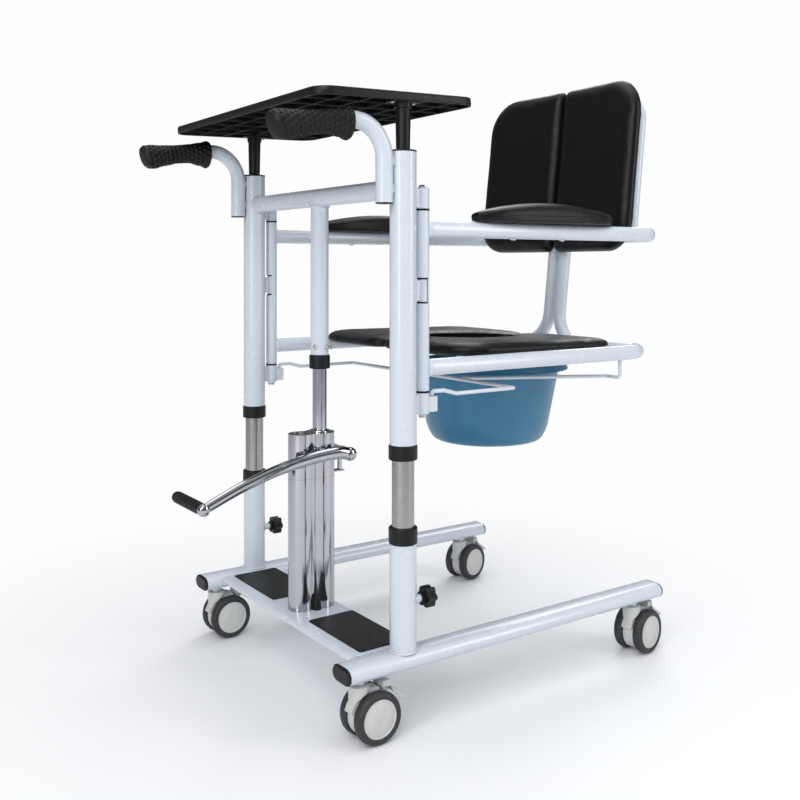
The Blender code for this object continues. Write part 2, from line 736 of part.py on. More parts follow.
def build_crossbar(model):
    """The crossbar and the lift tube under its middle, with the ends coped to the columns."""
    bar = cylinder(CROSSBAR_RADIUS, -COLUMN_Y, COLUMN_Y, (0, 0, CROSSBAR_HEIGHT), "Y")
    lift = cylinder(CROSSBAR_RADIUS, LIFT_TUBE_BOTTOM + FIT_GAP, CROSSBAR_HEIGHT)
    bar = united(bar, lift)
    for sign in SIDES.values():
        cope = cylinder(LOWER_TUBE_RADIUS + FIT_GAP, 0.95, 1.05, (0, sign * COLUMN_Y, 0))
        bar = reduced(bar, cope)
    bar = reduced(bar, cylinder(LIFT_TUBE_BORE, LIFT_TUBE_BOTTOM - 0.01, ROD_TOP + 0.010))
    model.add("crossbar", bar, "white_paint", "carriage")
    collar = build_collar((0, 0, 0), LIFT_COLLAR_BOTTOM, LIFT_TUBE_BOTTOM, LIFT_COLLAR_RADIUS, 0.0154)
    model.add("lift_collar", collar, "black_plastic", "carriage")
    piston_top = PISTON_BOTTOM + PISTON_HEIGHT
    profile = [(0, PISTON_BOTTOM), (PISTON_RADIUS, PISTON_BOTTOM), (PISTON_RADIUS, piston_top)]
    profile += [(ROD_RADIUS, piston_top), (ROD_RADIUS, ROD_TOP), (0, ROD_TOP)]
    model.add("piston_rod", turned(profile), "chrome", "carriage")


def handle_height(x):
    """The height of the handle tube's sloping end at x."""
    return HANDLE_CORNER_HEIGHT + (x - HANDLE_X) * HANDLE_SLOPE


def build_handles(model):
    for side, sign in SIDES.items():
        y = sign * COLUMN_Y
        corners = [(HANDLE_X, y, HANDLE_BOTTOM), (HANDLE_X, y, HANDLE_CORNER_HEIGHT)]
        corners += [(HANDLE_END_X, y, handle_height(HANDLE_END_X))]
        tube = swept(rounded_path(corners, HANDLE_BEND, 6), HANDLE_TUBE, SMALL_ROUND)
        for height in (HANDLE_BOTTOM + 0.020, HANDLE_BOTTOM + 0.070):
            tab_front = HANDLE_X + 0.010
            tab_rear = -LOWER_TUBE_RADIUS - 0.0004
            tab = box((tab_front, y - 0.007, height), (tab_rear, y + 0.007, height + 0.012))
            tube = united(tube, tab)
        model.add(f"push_handle_{side}", tube, "white_paint", "carriage")
        model.add(f"push_grip_{side}", build_grip(y), "black_rubber", "carriage")


def build_grip(y):
    """A waisted grip with flared ends, and a blind bore for the handle tube."""
    stages = [(0.0, 0.0300, 0.0260, -0.006), (0.04, 0.0315, 0.0270, -0.006)]
    stages += [(0.13, 0.0265, 0.0235, -0.004), (0.32, 0.0215, 0.0205, -0.001)]
    stages += [(0.50, 0.0210, 0.0200, -0.001), (0.70, 0.0235, 0.0215, -0.002)]
    stages += [(0.88, 0.0270, 0.0240, -0.003), (0.97, 0.0260, 0.0230, -0.003)]
    stages += [(1.0, 0.0220, 0.0195, -0.003)]
    sections = []
    for share, half_height, half_width, offset in stages:
        middle_x = GRIP_REAR_X - share * GRIP_LENGTH
        ring = []
        for i in range(ROUND):
            angle = 2 * math.pi * i / ROUND
            rise = offset + half_height * math.sin(angle)
            x = middle_x - 0.30 * share * rise
            ring.append((x, y + half_width * math.cos(angle), handle_height(x) + rise))
        sections.append(ring)
    grip = lofted(sections)
    deep = HANDLE_END_X - 0.0005
    mouth = GRIP_REAR_X + 0.030
    path = [(deep, y, handle_height(deep)), (mouth, y, handle_height(mouth))]
    return reduced(grip, swept(path, HANDLE_TUBE + 2 * FIT_GAP, ROUND))


def build_rack(model):
    """The fixed wire under the seat, from one bottom hinge block across to the other."""
    base = BOTTOM_LUG[1] - 0.008 + FIT_GAP
    ends = []
    for sign in SIDES.values():
        y = sign * COLUMN_Y
        ends.append([(RACK_WIRE_START_X, y, base), (RACK_WIRE_START_X, y, WIRE_HEIGHT + 0.008)])
    start, finish = ends
    across = WIRE_HEIGHT + 0.008
    corners = start + [(0.095, -COLUMN_Y, across), (0.125, -COLUMN_Y, WIRE_HEIGHT)]
    corners += [(RACK_CROSS_X, -COLUMN_Y, WIRE_HEIGHT), (RACK_CROSS_X, COLUMN_Y, WIRE_HEIGHT)]
    corners += [(0.125, COLUMN_Y, WIRE_HEIGHT), (0.095, COLUMN_Y, across)]
    corners += finish[::-1]
    path = rounded_path(corners, 0.006, 3)
    model.add("wire_rack", swept(path, WIRE_RADIUS, 8), "white_paint", "carriage")


# Half seats


def leaned(x, height):
    """Where something that leans with the backrest stands, from where it is at the armrest."""
    return x + (height - ARMREST_HEIGHT) * BACK_LEAN


def build_seat_frame(sign):
    """One half seat's welded frame: hinge tube, armrest, seat rail, post, back loop and wire."""
    y = sign * COLUMN_Y
    start = HINGE_X + 0.004
    hinge = cylinder(HINGE_TUBE_RADIUS, HINGE_TUBE_BOTTOM, HINGE_TUBE_TOP, hinge_side(sign))

    arm_corners = [(start, y, ARMREST_HEIGHT), (ARMREST_REAR, y, ARMREST_HEIGHT)]
    arm_corners += [(ARMREST_REAR, sign * RAIL_END_Y, ARMREST_HEIGHT)]
    armrest = swept(rounded_path(arm_corners, ARMREST_BEND), FRAME_TUBE)

    post_y = sign * POST_Y
    post_corners = [(SEAT_REAR, sign * 0.14, SEAT_HEIGHT), (SEAT_REAR + 0.004, post_y, SEAT_HEIGHT)]
    post_corners += [(ARMREST_REAR - 0.002, post_y, ARMREST_HEIGHT)]
    post = swept(rounded_path(post_corners, POST_BEND), POST_TUBE)

    seat_corners = [(start, y, SEAT_HEIGHT), (SEAT_REAR, y, SEAT_HEIGHT)]
    seat_corners += [(SEAT_REAR, sign * 0.135, SEAT_HEIGHT)]
    seat = swept(rounded_path(seat_corners, SEAT_BEND), FRAME_TUBE)

    outer_y, inner_y = sign * LOOP_OUTER_Y, sign * LOOP_INNER_Y
    loop_corners = [(LOOP_OUTER_X, outer_y, ARMREST_HEIGHT)]
    loop_corners += [(leaned(LOOP_OUTER_X, LOOP_TOP), outer_y, LOOP_TOP)]
    loop_corners += [(leaned(LOOP_INNER_X, LOOP_TOP), inner_y, LOOP_TOP)]
    loop_corners += [(LOOP_INNER_X, inner_y, ARMREST_HEIGHT)]
    loop = swept(rounded_path(loop_corners, LOOP_BEND), LOOP_TUBE)

    wire_corners = [(SEAT_WIRE_X, y, SEAT_HEIGHT - 0.008), (SEAT_WIRE_X, y, WIRE_HEIGHT)]
    wire_corners += [(SEAT_WIRE_X, sign * SEAT_WIRE_BEND_Y, WIRE_HEIGHT)]
    wire_corners += [(SEAT_WIRE_END[0], sign * SEAT_WIRE_END[1], WIRE_HEIGHT)]
    wire = swept(rounded_path(wire_corners, 0.010, 4), WIRE_RADIUS, 8)

    frame = united(hinge, armrest, seat, post, loop, wire)
    bore = cylinder(HINGE_BORE, 0.60, 0.98, hinge_side(sign), segments=SMALL_ROUND)
    return reduced(frame, bore, hinge_notch(sign), hinge_pocket(sign))


def hinge_notch(sign):
    """Opens the column's side of the hinge tube round the middle lug."""
    low, high = notch_heights()
    reach = 0.020
    cutter = box((-reach, -reach, low), (0, reach, high))
    turn = Matrix.Rotation(-sign * NOTCH_TURN, 4, "Z")
    shift = Matrix.Translation(Vector(hinge_side(sign)))
    bmesh.ops.transform(cutter, matrix=shift @ turn, verts=cutter.verts)
    return cutter


def hinge_pocket(sign):
    """The round pocket in which the middle lug turns."""
    low, high = notch_heights()
    return cylinder(NOTCH_POCKET_RADIUS, low, high, hinge_side(sign))


def notch_heights():
    return MIDDLE_LUG[0] - WASHER_THICKNESS - FIT_GAP, MIDDLE_LUG[1] + WASHER_THICKNESS + FIT_GAP


def seat_pad_outline(sign):
    """A rounded rectangle with half of the commode opening cut from its inner side."""
    inner, outer = SEAT_PAD_INNER_Y, SEAT_PAD_OUTER_Y
    low = (SEAT_PAD_FRONT, inner)
    high = (SEAT_PAD_REAR, outer)
    corners = rounded_rectangle(low, high, [0.040, 0.040, 0.050, 0.110], 5)
    bite = []
    steps = 14
    for i in range(steps + 1):
        angle = math.pi * (1 - i / steps)
        x = COMMODE_CENTRE_X + COMMODE_HALF_LENGTH * math.cos(angle)
        bite.append((x, inner + COMMODE_HALF_WIDTH * math.sin(angle)))
    points = corners[:6] + bite + corners[6:]
    return [(x, sign * y) for x, y in points]


def build_seat_pads(model):
    """Flat pads between the tubes, thinner towards the rear."""

    def top(x):
        share = (x - SEAT_PAD_FRONT) / (SEAT_PAD_REAR - SEAT_PAD_FRONT)
        return SEAT_PAD_TOP_FRONT + (SEAT_PAD_TOP_REAR - SEAT_PAD_TOP_FRONT) * share

    for side, sign in SIDES.items():
        outline = seat_pad_outline(sign)
        lower = [(x, y, SEAT_PAD_BOTTOM) for x, y in outline]
        upper = [(x, y, top(x)) for x, y in outline]
        model.add(f"seat_pad_{side}", lofted([lower, upper]), "black_leather", f"seat_{side}")


def build_arm_pads(model):
    """Domed pads on top of the armrest tubes, highest a little ahead of their middle."""
    bottom = ARMREST_HEIGHT + FRAME_TUBE + 0.0004
    steps = 12
    half = ARM_PAD_WIDTH / 2
    for side, sign in SIDES.items():
        y = sign * COLUMN_Y
        sections = []
        for i in range(steps + 1):
            share = 0.5 - 0.5 * math.cos(math.pi * i / steps)
            x = ARM_PAD_FRONT + share * (ARM_PAD_REAR - ARM_PAD_FRONT)
            rise = ARM_PAD_EDGE + 0.005 * share + ARM_PAD_CROWN * math.sin(math.pi * share) ** 0.8
            width = half * max(0.2, (1 - abs(2 * share - 1) ** 3) ** 0.5)
            ring = [(x, y - width, bottom), (x, y + width, bottom)]
            ring += [(x, y + width, bottom + 0.6 * rise), (x, y + 0.6 * width, bottom + rise)]
            ring += [(x, y - 0.6 * width, bottom + rise), (x, y - width, bottom + 0.6 * rise)]
            sections.append(ring)
        model.add(f"armrest_pad_{side}", lofted(sections), "black_leather", f"seat_{side}")


def cushion_band(sign, height):
    """The cushion's cross-section: a band that bows forward towards its outer edge."""
    steps = 5
    front = []
    for i in range(steps + 1):
        share = -0.04 + 1.08 * i / steps
        y = CUSHION_INNER_Y + share * (CUSHION_OUTER_Y - CUSHION_INNER_Y)
        x = leaned(CUSHION_FRONT_AT_ARMREST, height) - CUSHION_WRAP * share**2
        front.append((x, sign * y, height))
    rear = [(x + CUSHION_THICKNESS, y, height) for x, y, _ in reversed(front)]
    return front + rear


def build_cushions(model):
    """Backrest cushions: leaning slabs, thinner where they stand before the armrest rail."""
    rail_front = ARMREST_REAR - FRAME_TUBE - 0.0065
    step_height = ARMREST_HEIGHT + FRAME_TUBE + 0.003
    for side, sign in SIDES.items():
        bottom, top = CUSHION_BOTTOM, CUSHION_TOP
        slab = lofted([cushion_band(sign, bottom - 0.01), cushion_band(sign, top + 0.01)])
        near_y, far_y = sorted((sign * CUSHION_INNER_Y, sign * CUSHION_OUTER_Y))
        radii = [0.020, CUSHION_BOTTOM_CORNER, CUSHION_TOP_CORNER, 0.020]
        if sign < 0:
            radii = [CUSHION_BOTTOM_CORNER, 0.020, 0.020, CUSHION_TOP_CORNER]
        face = rounded_rectangle((near_y, bottom), (far_y, top), radii, 5)
        slab = combined(slab, prism(face, 0.60, 0.80, "X"), "INTERSECT")
        rail_room = box((rail_front, -0.4, bottom - 0.02), (0.80, 0.4, step_height))
        slab = reduced(slab, rail_room)
        model.add(f"backrest_cushion_{side}", slab, "black_leather", f"seat_{side}")


def build_half_seats(model):
    for side, sign in SIDES.items():
        model.add(f"seat_frame_{side}", build_seat_frame(sign), "white_paint", f"seat_{side}")
    build_seat_pads(model)
    build_arm_pads(model)
    build_cushions(model)


# Tray and bucket


def build_tray(model):
    """A shallow tray, lower at its front: a rim, a thin floor, and sockets over the two posts."""

    def outline(inset):
        low = (TRAY_FRONT + inset, -TRAY_HALF_WIDTH + inset)
        high = (TRAY_REAR - inset, TRAY_HALF_WIDTH - inset)
        return rounded_rectangle(low, high, [TRAY_CORNER - inset] * 4, 6)

    floor_top = TRAY_TOP - TRAY_RECESS
    floor_bottom = floor_top - TRAY_FLOOR
    tray = prism(outline(0.0), TRAY_BOTTOM, TRAY_TOP)
    tray = reduced(tray, prism(outline(0.008), floor_top, TRAY_TOP + 0.01))
    tray = reduced(tray, prism(outline(TRAY_RIM), TRAY_BOTTOM - 0.01, floor_bottom))
    middle = Vector((0, 0, TRAY_TOP))
    tilt = Matrix.Rotation(-TRAY_TILT, 4, "Y")
    bmesh.ops.rotate(tray, verts=tray.verts, cent=middle, matrix=tilt)
    for sign in SIDES.values():
        centre = (0, sign * COLUMN_Y, 0)
        socket = cylinder(TRAY_SOCKET_RADIUS, TRAY_SOCKET_BOTTOM, floor_top - 0.0012, centre)
        bore_top = POST_PEG_TOP + FIT_GAP
        bore = cylinder(POST_PEG_RADIUS + FIT_GAP, TRAY_SOCKET_BOTTOM - 0.01, bore_top, centre)
        tray = reduced(united(tray, socket), bore)
    model.add("tray", tray, "black_plastic", "tray")
    for side, sign in SIDES.items():
        model.add(f"tray_post_{side}", build_tray_post(sign), "black_plastic", "carriage")


def build_tray_post(sign):
    """A plug in the column's mouth, a flange on its edge, and a tapered post with a peg on top."""
    flange_bottom = UPPER_TUBE_TOP + FIT_GAP
    shoulder = TRAY_SOCKET_BOTTOM - FIT_GAP
    plug = LOWER_TUBE_BORE - FIT_GAP
    profile = [(0, 1.045), (plug, 1.045), (plug, flange_bottom), (0.0255, flange_bottom)]
    profile += [(0.0255, flange_bottom + 0.003), (0.013, flange_bottom + 0.003)]
    profile += [(0.0145, shoulder), (POST_PEG_RADIUS, shoulder)]
    profile += [(POST_PEG_RADIUS, POST_PEG_TOP), (0, POST_PEG_TOP)]
    return turned(profile, ROUND, (0, sign * COLUMN_Y, 0))


def build_bucket(model):
    """A bowl with a turned-out rim that lies on the wires."""
    wall = BUCKET_WALL
    bottom, rim, top = BUCKET_BOTTOM, BUCKET_RIM_BOTTOM, BUCKET_RIM_TOP
    outer = [(0.0, bottom), (0.100, bottom), (0.124, bottom + 0.006), (0.136, bottom + 0.021)]
    outer += [(0.1435, bottom + 0.040), (0.169, rim), (BUCKET_RIM_RADIUS, rim)]
    outer += [(BUCKET_RIM_RADIUS, rim + 0.004), (0.186, top)]
    inner = [(0.182, top), (0.182, rim + wall), (0.1665, rim + wall)]
    inner += [(0.1405, bottom + 0.041), (0.1332, bottom + 0.023), (0.122, bottom + 0.0090)]
    inner += [(0.0995, bottom + wall), (0.0, bottom + wall)]
    bucket = turned(outer + inner, BUCKET_ROUND, (BUCKET_X, 0, 0))
    model.add("commode_bucket", bucket, "blue_plastic", "bucket")


# Casters


def wheel_profile():
    """Half of the wheel pair, from the axle outwards: a tyre with round shoulders, and a hub."""
    inner = WHEEL_INNER_Y
    outer = inner + WHEEL_WIDTH
    middle = (inner + outer) / 2
    profile = [(AXLE_RADIUS, inner), (WHEEL_RADIUS - 0.004, inner)]
    profile += [(WHEEL_RADIUS - 0.0005, middle - 0.006), (WHEEL_RADIUS, middle)]
    profile += [(WHEEL_RADIUS - 0.0005, middle + 0.005), (WHEEL_RADIUS - 0.0045, outer)]
    profile += [(HUB_RADIUS, outer - 0.001), (0.0, outer - 0.001)]
    return profile


def caster_places():
    for end, stem_x in (("front", FRONT_STEM_X), ("rear", REAR_STEM_X)):
        for side, sign in SIDES.items():
            turn = REAR_SWIVEL[side] if end == "rear" else 0.0
            yield f"{end}_{side}", stem_x, sign * COLUMN_Y, turn


def turned_about(stem, turn, point):
    """A point of a caster standing straight, after the caster has swivelled about its stem."""
    offset = Matrix.Rotation(turn, 3, "Z") @ (Vector(point) - Vector(stem))
    return Vector(stem) + offset


def build_casters(model):
    for name, stem_x, stem_y, turn in caster_places():
        stem = (stem_x, stem_y, 0.0)
        axle = (stem_x + CASTER_TRAIL, stem_y, WHEEL_RADIUS)
        pedal_pin = (stem_x + PEDAL_PIVOT[0], stem_y, PEDAL_PIVOT[1])
        model.add_body(f"caster_{name}", turned_about(stem, turn, stem), turn)
        model.add_body(f"wheels_{name}", turned_about(stem, turn, axle), turn)
        model.add_body(f"pedal_{name}", turned_about(stem, turn, pedal_pin), turn)
        shapes = [("caster_housing", build_caster_housing(), "grey_plastic", "caster", (0, 0, 0))]
        at_axle = (CASTER_TRAIL, 0, WHEEL_RADIUS)
        shapes += [("caster_wheels", build_wheel_pair(), "black_rubber", "wheels", at_axle)]
        at_pin = (PEDAL_PIVOT[0], 0, PEDAL_PIVOT[1])
        shapes += [("brake_pedal", build_pedal(), "grey_plastic", "pedal", at_pin)]
        for piece, shape, material, body, local_origin in shapes:
            _, pivot = model.bodies[f"{body}_{name}"]
            shift = pivot - Vector(local_origin)
            bmesh.ops.translate(shape, verts=shape.verts, vec=shift)
            model.add(f"{piece}_{name}", shape, material, f"{body}_{name}")


def build_caster_housing():
    """The plate between the wheels, the stem's boss, the threaded stem, and the pedal's lug."""
    half = HOUSING_HALF_WIDTH
    plate_centre = (CASTER_TRAIL, 0, WHEEL_RADIUS)
    plate = cylinder(HOUSING_RADIUS, -half, half, plate_centre, "Y", WHEEL_ROUND)
    arch_top = cylinder(HOUSING_ARCH_RADIUS, -half + 0.0001, half - 0.0001, plate_centre, "Y", WHEEL_ROUND)
    arch_end = CASTER_TRAIL + 0.012
    arch_top = reduced(arch_top, box((-0.05, -0.02, -0.01), (0.09, 0.02, 0.060)))
    arch_top = reduced(arch_top, box((arch_end, -0.02, 0.0), (0.09, 0.02, 0.12)))
    boss = cylinder(STEM_BOSS_RADIUS, 0.0, STEM_BOSS_TOP, segments=ROUND)
    arch = cylinder(WHEEL_RADIUS + 0.003, 0.0116, 0.06, plate_centre, "Y", WHEEL_ROUND)
    other_arch = cylinder(WHEEL_RADIUS + 0.003, -0.06, -0.0116, plate_centre, "Y", WHEEL_ROUND)
    below = box((-0.05, -0.05, -0.01), (0.05, 0.05, 0.045))
    boss = reduced(boss, arch, other_arch, below)
    stem_profile = [(0, 0.100), (0.011, 0.100), (0.011, RAIL_BOTTOM - 0.0005)]
    stem_profile += [(STEM_RADIUS, RAIL_BOTTOM - 0.0005), (STEM_RADIUS, STEM_TOP), (0, STEM_TOP)]
    stem = turned(stem_profile, SMALL_ROUND)
    pin_x, pin_z = PEDAL_PIVOT
    lug = box((pin_x - 0.006, -0.005, 0.070), (pin_x + 0.006, 0.005, pin_z + 0.005))
    housing = united(plate, arch_top, boss, stem, lug)
    axle_hole = cylinder(AXLE_BORE, -0.02, 0.02, plate_centre, "Y", SMALL_ROUND)
    pin_hole = cylinder(0.0028, -0.02, 0.02, (pin_x, 0, pin_z), "Y", 12)
    return reduced(housing, axle_hole, pin_hole)


def build_wheel_pair():
    profile = wheel_profile()
    other = [(radius, -y) for radius, y in reversed(profile)]
    centre = (CASTER_TRAIL, 0, WHEEL_RADIUS)
    return turned(other + profile, WHEEL_ROUND, centre, "Y")


def build_pedal():
    """A rocker over the wheels: two cheeks on a pin, a raised toe and a broad paddle behind."""
    pin_x, pin_z = PEDAL_PIVOT
    half = PEDAL_HALF_WIDTH
    outline = [(pin_x - 0.009, pin_z + 0.006), (pin_x - 0.008, pin_z + 0.0165)]
    outline += [(pin_x + 0.007, pin_z + 0.0175), (pin_x + 0.011, pin_z + 0.0025)]
    outline += [(pin_x + 0.047, pin_z - 0.0215), (pin_x + 0.045, pin_z - 0.026)]
    outline += [(pin_x + 0.015, pin_z - 0.0065), (pin_x + 0.008, pin_z + 0.006)]
    top = prism(outline, -half, half, "Y")
    cheeks = []
    for low, high in ((-0.0095, -0.0056), (0.0056, 0.0095)):
        cheeks.append(box((pin_x - 0.005, low, pin_z - 0.004), (pin_x + 0.007, high, pin_z + 0.008)))
    pin = cylinder(0.0025, -0.0075, 0.0075, (pin_x, 0, pin_z), "Y", 12)
    return united(top, *cheeks, pin)


def add_bodies(model):
    model.add_body("base")
    model.add_body("carriage")
    for side, sign in SIDES.items():
        model.add_body(f"seat_{side}", (HINGE_X, sign * COLUMN_Y, 0))
        model.add_body(f"knob_{side}", (0, sign * COLUMN_Y, KNOB_HEIGHT))
    model.add_body("lever", (LEVER_PIVOT[0], 0, LEVER_PIVOT[1]))
    model.add_body("tray", (0, 0, TRAY_BOTTOM))
    model.add_body("bucket", (BUCKET_X, 0, BUCKET_BOTTOM))


def main():
    clear_scene()
    model = Model(make_materials())
    add_bodies(model)
    build_rails(model)
    build_footplate(model)
    build_lower_columns(model)
    build_knobs(model)
    build_pump(model)
    build_lever(model)
    build_upper_columns(model)
    build_hinge_pins(model)
    build_crossbar(model)
    build_handles(model)
    build_rack(model)
    build_half_seats(model)
    build_tray(model)
    build_bucket(model)
    build_casters(model)


main()
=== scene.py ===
"""The looks of a patient transfer lift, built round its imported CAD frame.

Lengths are in metres and +Z is up. +X points rearwards, from the push handles to the backrest.
Places are given from the middle between the two columns at floor level, and ORIGIN moves them
into the frame. Pieces are closed meshes made here, or CAD nodes with a better material.
"""

import math

import bmesh
import bpy
from mathutils import Matrix, Vector


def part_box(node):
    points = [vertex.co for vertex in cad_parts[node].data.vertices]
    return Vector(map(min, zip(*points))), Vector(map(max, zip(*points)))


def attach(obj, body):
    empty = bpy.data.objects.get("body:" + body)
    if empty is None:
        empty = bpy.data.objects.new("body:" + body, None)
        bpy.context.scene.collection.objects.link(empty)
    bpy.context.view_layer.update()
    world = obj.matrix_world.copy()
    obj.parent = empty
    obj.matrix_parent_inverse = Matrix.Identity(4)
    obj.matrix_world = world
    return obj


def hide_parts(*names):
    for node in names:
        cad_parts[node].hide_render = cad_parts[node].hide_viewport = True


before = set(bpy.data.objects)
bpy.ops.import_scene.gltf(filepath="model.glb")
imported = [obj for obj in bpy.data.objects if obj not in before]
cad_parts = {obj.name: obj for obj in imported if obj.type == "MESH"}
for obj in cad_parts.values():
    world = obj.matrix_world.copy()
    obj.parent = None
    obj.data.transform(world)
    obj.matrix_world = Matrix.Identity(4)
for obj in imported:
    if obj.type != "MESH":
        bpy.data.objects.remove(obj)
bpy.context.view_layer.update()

SIDES = {"near": -1, "far": 1}
NEAR_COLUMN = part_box("inner_column_near")
FAR_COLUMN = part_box("inner_column_far")
ORIGIN = (NEAR_COLUMN[0] + NEAR_COLUMN[1] + FAR_COLUMN[0] + FAR_COLUMN[1]) / 4
ORIGIN.z = 0.0
COLUMN_Y = 0.307
TUBE_SEGMENTS = 32
BEND_STEPS = 12

# Half seats
HINGE_X = 0.045
HINGE_RADIUS = 0.0125
HINGE_NOTCH = (0.7857, 0.8343)
HINGE_LUGS = ((0.9636, 1.002), (0.789, 0.831), (0.579, 0.6184))
ARMREST_HEIGHT = 0.926
ARMREST_REAR = 0.703
SEAT_HEIGHT = 0.665
SEAT_REAR = 0.667
FRAME_TUBE = 0.016
POST_TUBE = 0.015
LOOP_TUBE = 0.0125
POST_Y = 0.018
LOOP_TOP = 1.242
BACK_LEAN = 0.116
WIRE_RADIUS = 0.004
WIRE_HEIGHT = 0.611

# Cushions and pads
CUSHION_BOTTOM = 0.886
CUSHION_TOP = 1.302
CUSHION_INNER_Y = 0.001
CUSHION_OUTER_Y = 0.2625
CUSHION_FRONT = 0.660
CUSHION_WRAP = 0.0156
SEAT_PAD_FRONT = 0.138
SEAT_PAD_REAR = 0.602
SEAT_PAD_OUTER_Y = 0.2895
SEAT_PAD_INNER_Y = 0.001
SEAT_PAD_REST = 0.6757
SEAT_PAD_REAR_SHARE = 0.72
COMMODE_X = 0.395
COMMODE_HALF = (0.125, 0.100)
ARM_PAD_FRONT = 0.168
ARM_PAD_REAR = 0.547
ARM_PAD_BOTTOM = 0.9424

# Handles, lever, tray and bucket
HANDLE_X = -0.042
HANDLE_END_X = -0.172
HANDLE_BOTTOM = 0.972
HANDLE_CORNER = 1.1272
HANDLE_SLOPE = 0.123
GRIP_REAR_X = -0.119
GRIP_LENGTH = 0.152
LEVER_PIVOT = Vector((0.045, 0.0, 0.462))
LEVER_Y = -0.049
TRAY_FRONT = -0.194
TRAY_REAR = 0.162
TRAY_HALF_WIDTH = 0.329
TRAY_BOTTOM = 1.1600
TRAY_TOP = 1.1762
TRAY_TILT = math.radians(1.8)
TRAY_RIB = 0.0011
BUCKET_X = 0.458
BUCKET_BOTTOM = 0.444
BUCKET_RIM = 0.6156
BUCKET_TOP = 0.631

# Casters
STEM_X = {"front": -0.097, "rear": 0.618}
SWIVEL = {"rear_near": math.radians(10), "rear_far": math.radians(13)}
CASTER_TRAIL = 0.025
WHEEL_RADIUS = 0.0475
WHEEL_INNER_Y = 0.0128
WHEEL_WIDTH = 0.022
HUB_RADIUS = 0.035

# Stage
BACKDROP = (0.985, 0.988, 0.995)
STUDIO_LEVELS = ((0.0, 0.55), (0.48, 0.42), (0.56, 0.10), (0.72, 0.30), (1.0, 0.85))
LIGHTS_FACE = Vector((0.05, 0.0, 0.70))
LIGHTS = (
    ("key_softbox", (-2.2, -2.6, 3.0), (1.6, 2.2), 55),
    ("side_strip", (-3.0, -1.4, 1.6), (0.7, 2.4), 30),
    ("rear_softbox", (2.4, 1.8, 2.6), (1.6, 1.8), 30),
    ("near_strip", (1.9, -2.6, 1.5), (0.6, 2.2), 25),
    ("top_softbox", (0.2, 0.0, 3.6), (2.6, 2.6), 35),
)
FLOOR_FADE = (0.35, 1.5)

scene = bpy.context.scene


# Camera, floor and light


def make_camera():
    camera = bpy.data.cameras.new("camera")
    camera.lens = 43.83
    camera.sensor_width = 36.0
    camera.shift_y = -0.16875
    obj = bpy.data.objects.new("camera", camera)
    obj.location = ORIGIN + Vector((-1.0347, -1.7849, 0.858))
    obj.rotation_euler = (math.radians(90), 0.0, -math.atan2(0.571, 0.821))
    scene.collection.objects.link(obj)
    scene.camera = obj


def make_area_light(name, location, size, power):
    """A softbox at location that faces the middle of the object."""
    light = bpy.data.lights.new(name, "AREA")
    light.shape = "RECTANGLE"
    light.size, light.size_y = size
    light.energy = power
    obj = bpy.data.objects.new(name, light)
    obj.location = location
    towards = LIGHTS_FACE - Vector(location)
    obj.rotation_euler = towards.to_track_quat("-Z", "Y").to_euler()
    scene.collection.objects.link(obj)


def make_world():
    """A pale backdrop for the camera, and a dimmer studio for what the object reflects."""
    world = bpy.data.worlds.new("studio")
    world.use_nodes = True
    nodes, links = world.node_tree.nodes, world.node_tree.links
    nodes.clear()
    output = nodes.new("ShaderNodeOutputWorld")
    mix = nodes.new("ShaderNodeMixShader")
    rays = nodes.new("ShaderNodeLightPath")
    backdrop = nodes.new("ShaderNodeBackground")
    backdrop.inputs["Color"].default_value = (*BACKDROP, 1.0)
    studio = nodes.new("ShaderNodeBackground")
    coordinates = nodes.new("ShaderNodeTexCoord")
    split = nodes.new("ShaderNodeSeparateXYZ")
    ramp = nodes.new("ShaderNodeValToRGB")
    for i, (position, level) in enumerate(STUDIO_LEVELS):
        stop = ramp.color_ramp.elements[i] if i < 2 else ramp.color_ramp.elements.new(position)
        stop.position = position
        stop.color = (level * 0.97, level * 0.99, level * 1.02, 1.0)
    rescale = nodes.new("ShaderNodeMapRange")
    rescale.inputs["From Min"].default_value = -1.0
    links.new(coordinates.outputs["Generated"], split.inputs[0])
    links.new(split.outputs["Z"], rescale.inputs["Value"])
    links.new(rescale.outputs["Result"], ramp.inputs["Fac"])
    links.new(ramp.outputs["Color"], studio.inputs["Color"])
    links.new(rays.outputs["Is Camera Ray"], mix.inputs["Fac"])
    links.new(studio.outputs[0], mix.inputs[1])
    links.new(backdrop.outputs[0], mix.inputs[2])
    links.new(mix.outputs[0], output.inputs["Surface"])
    scene.world = world


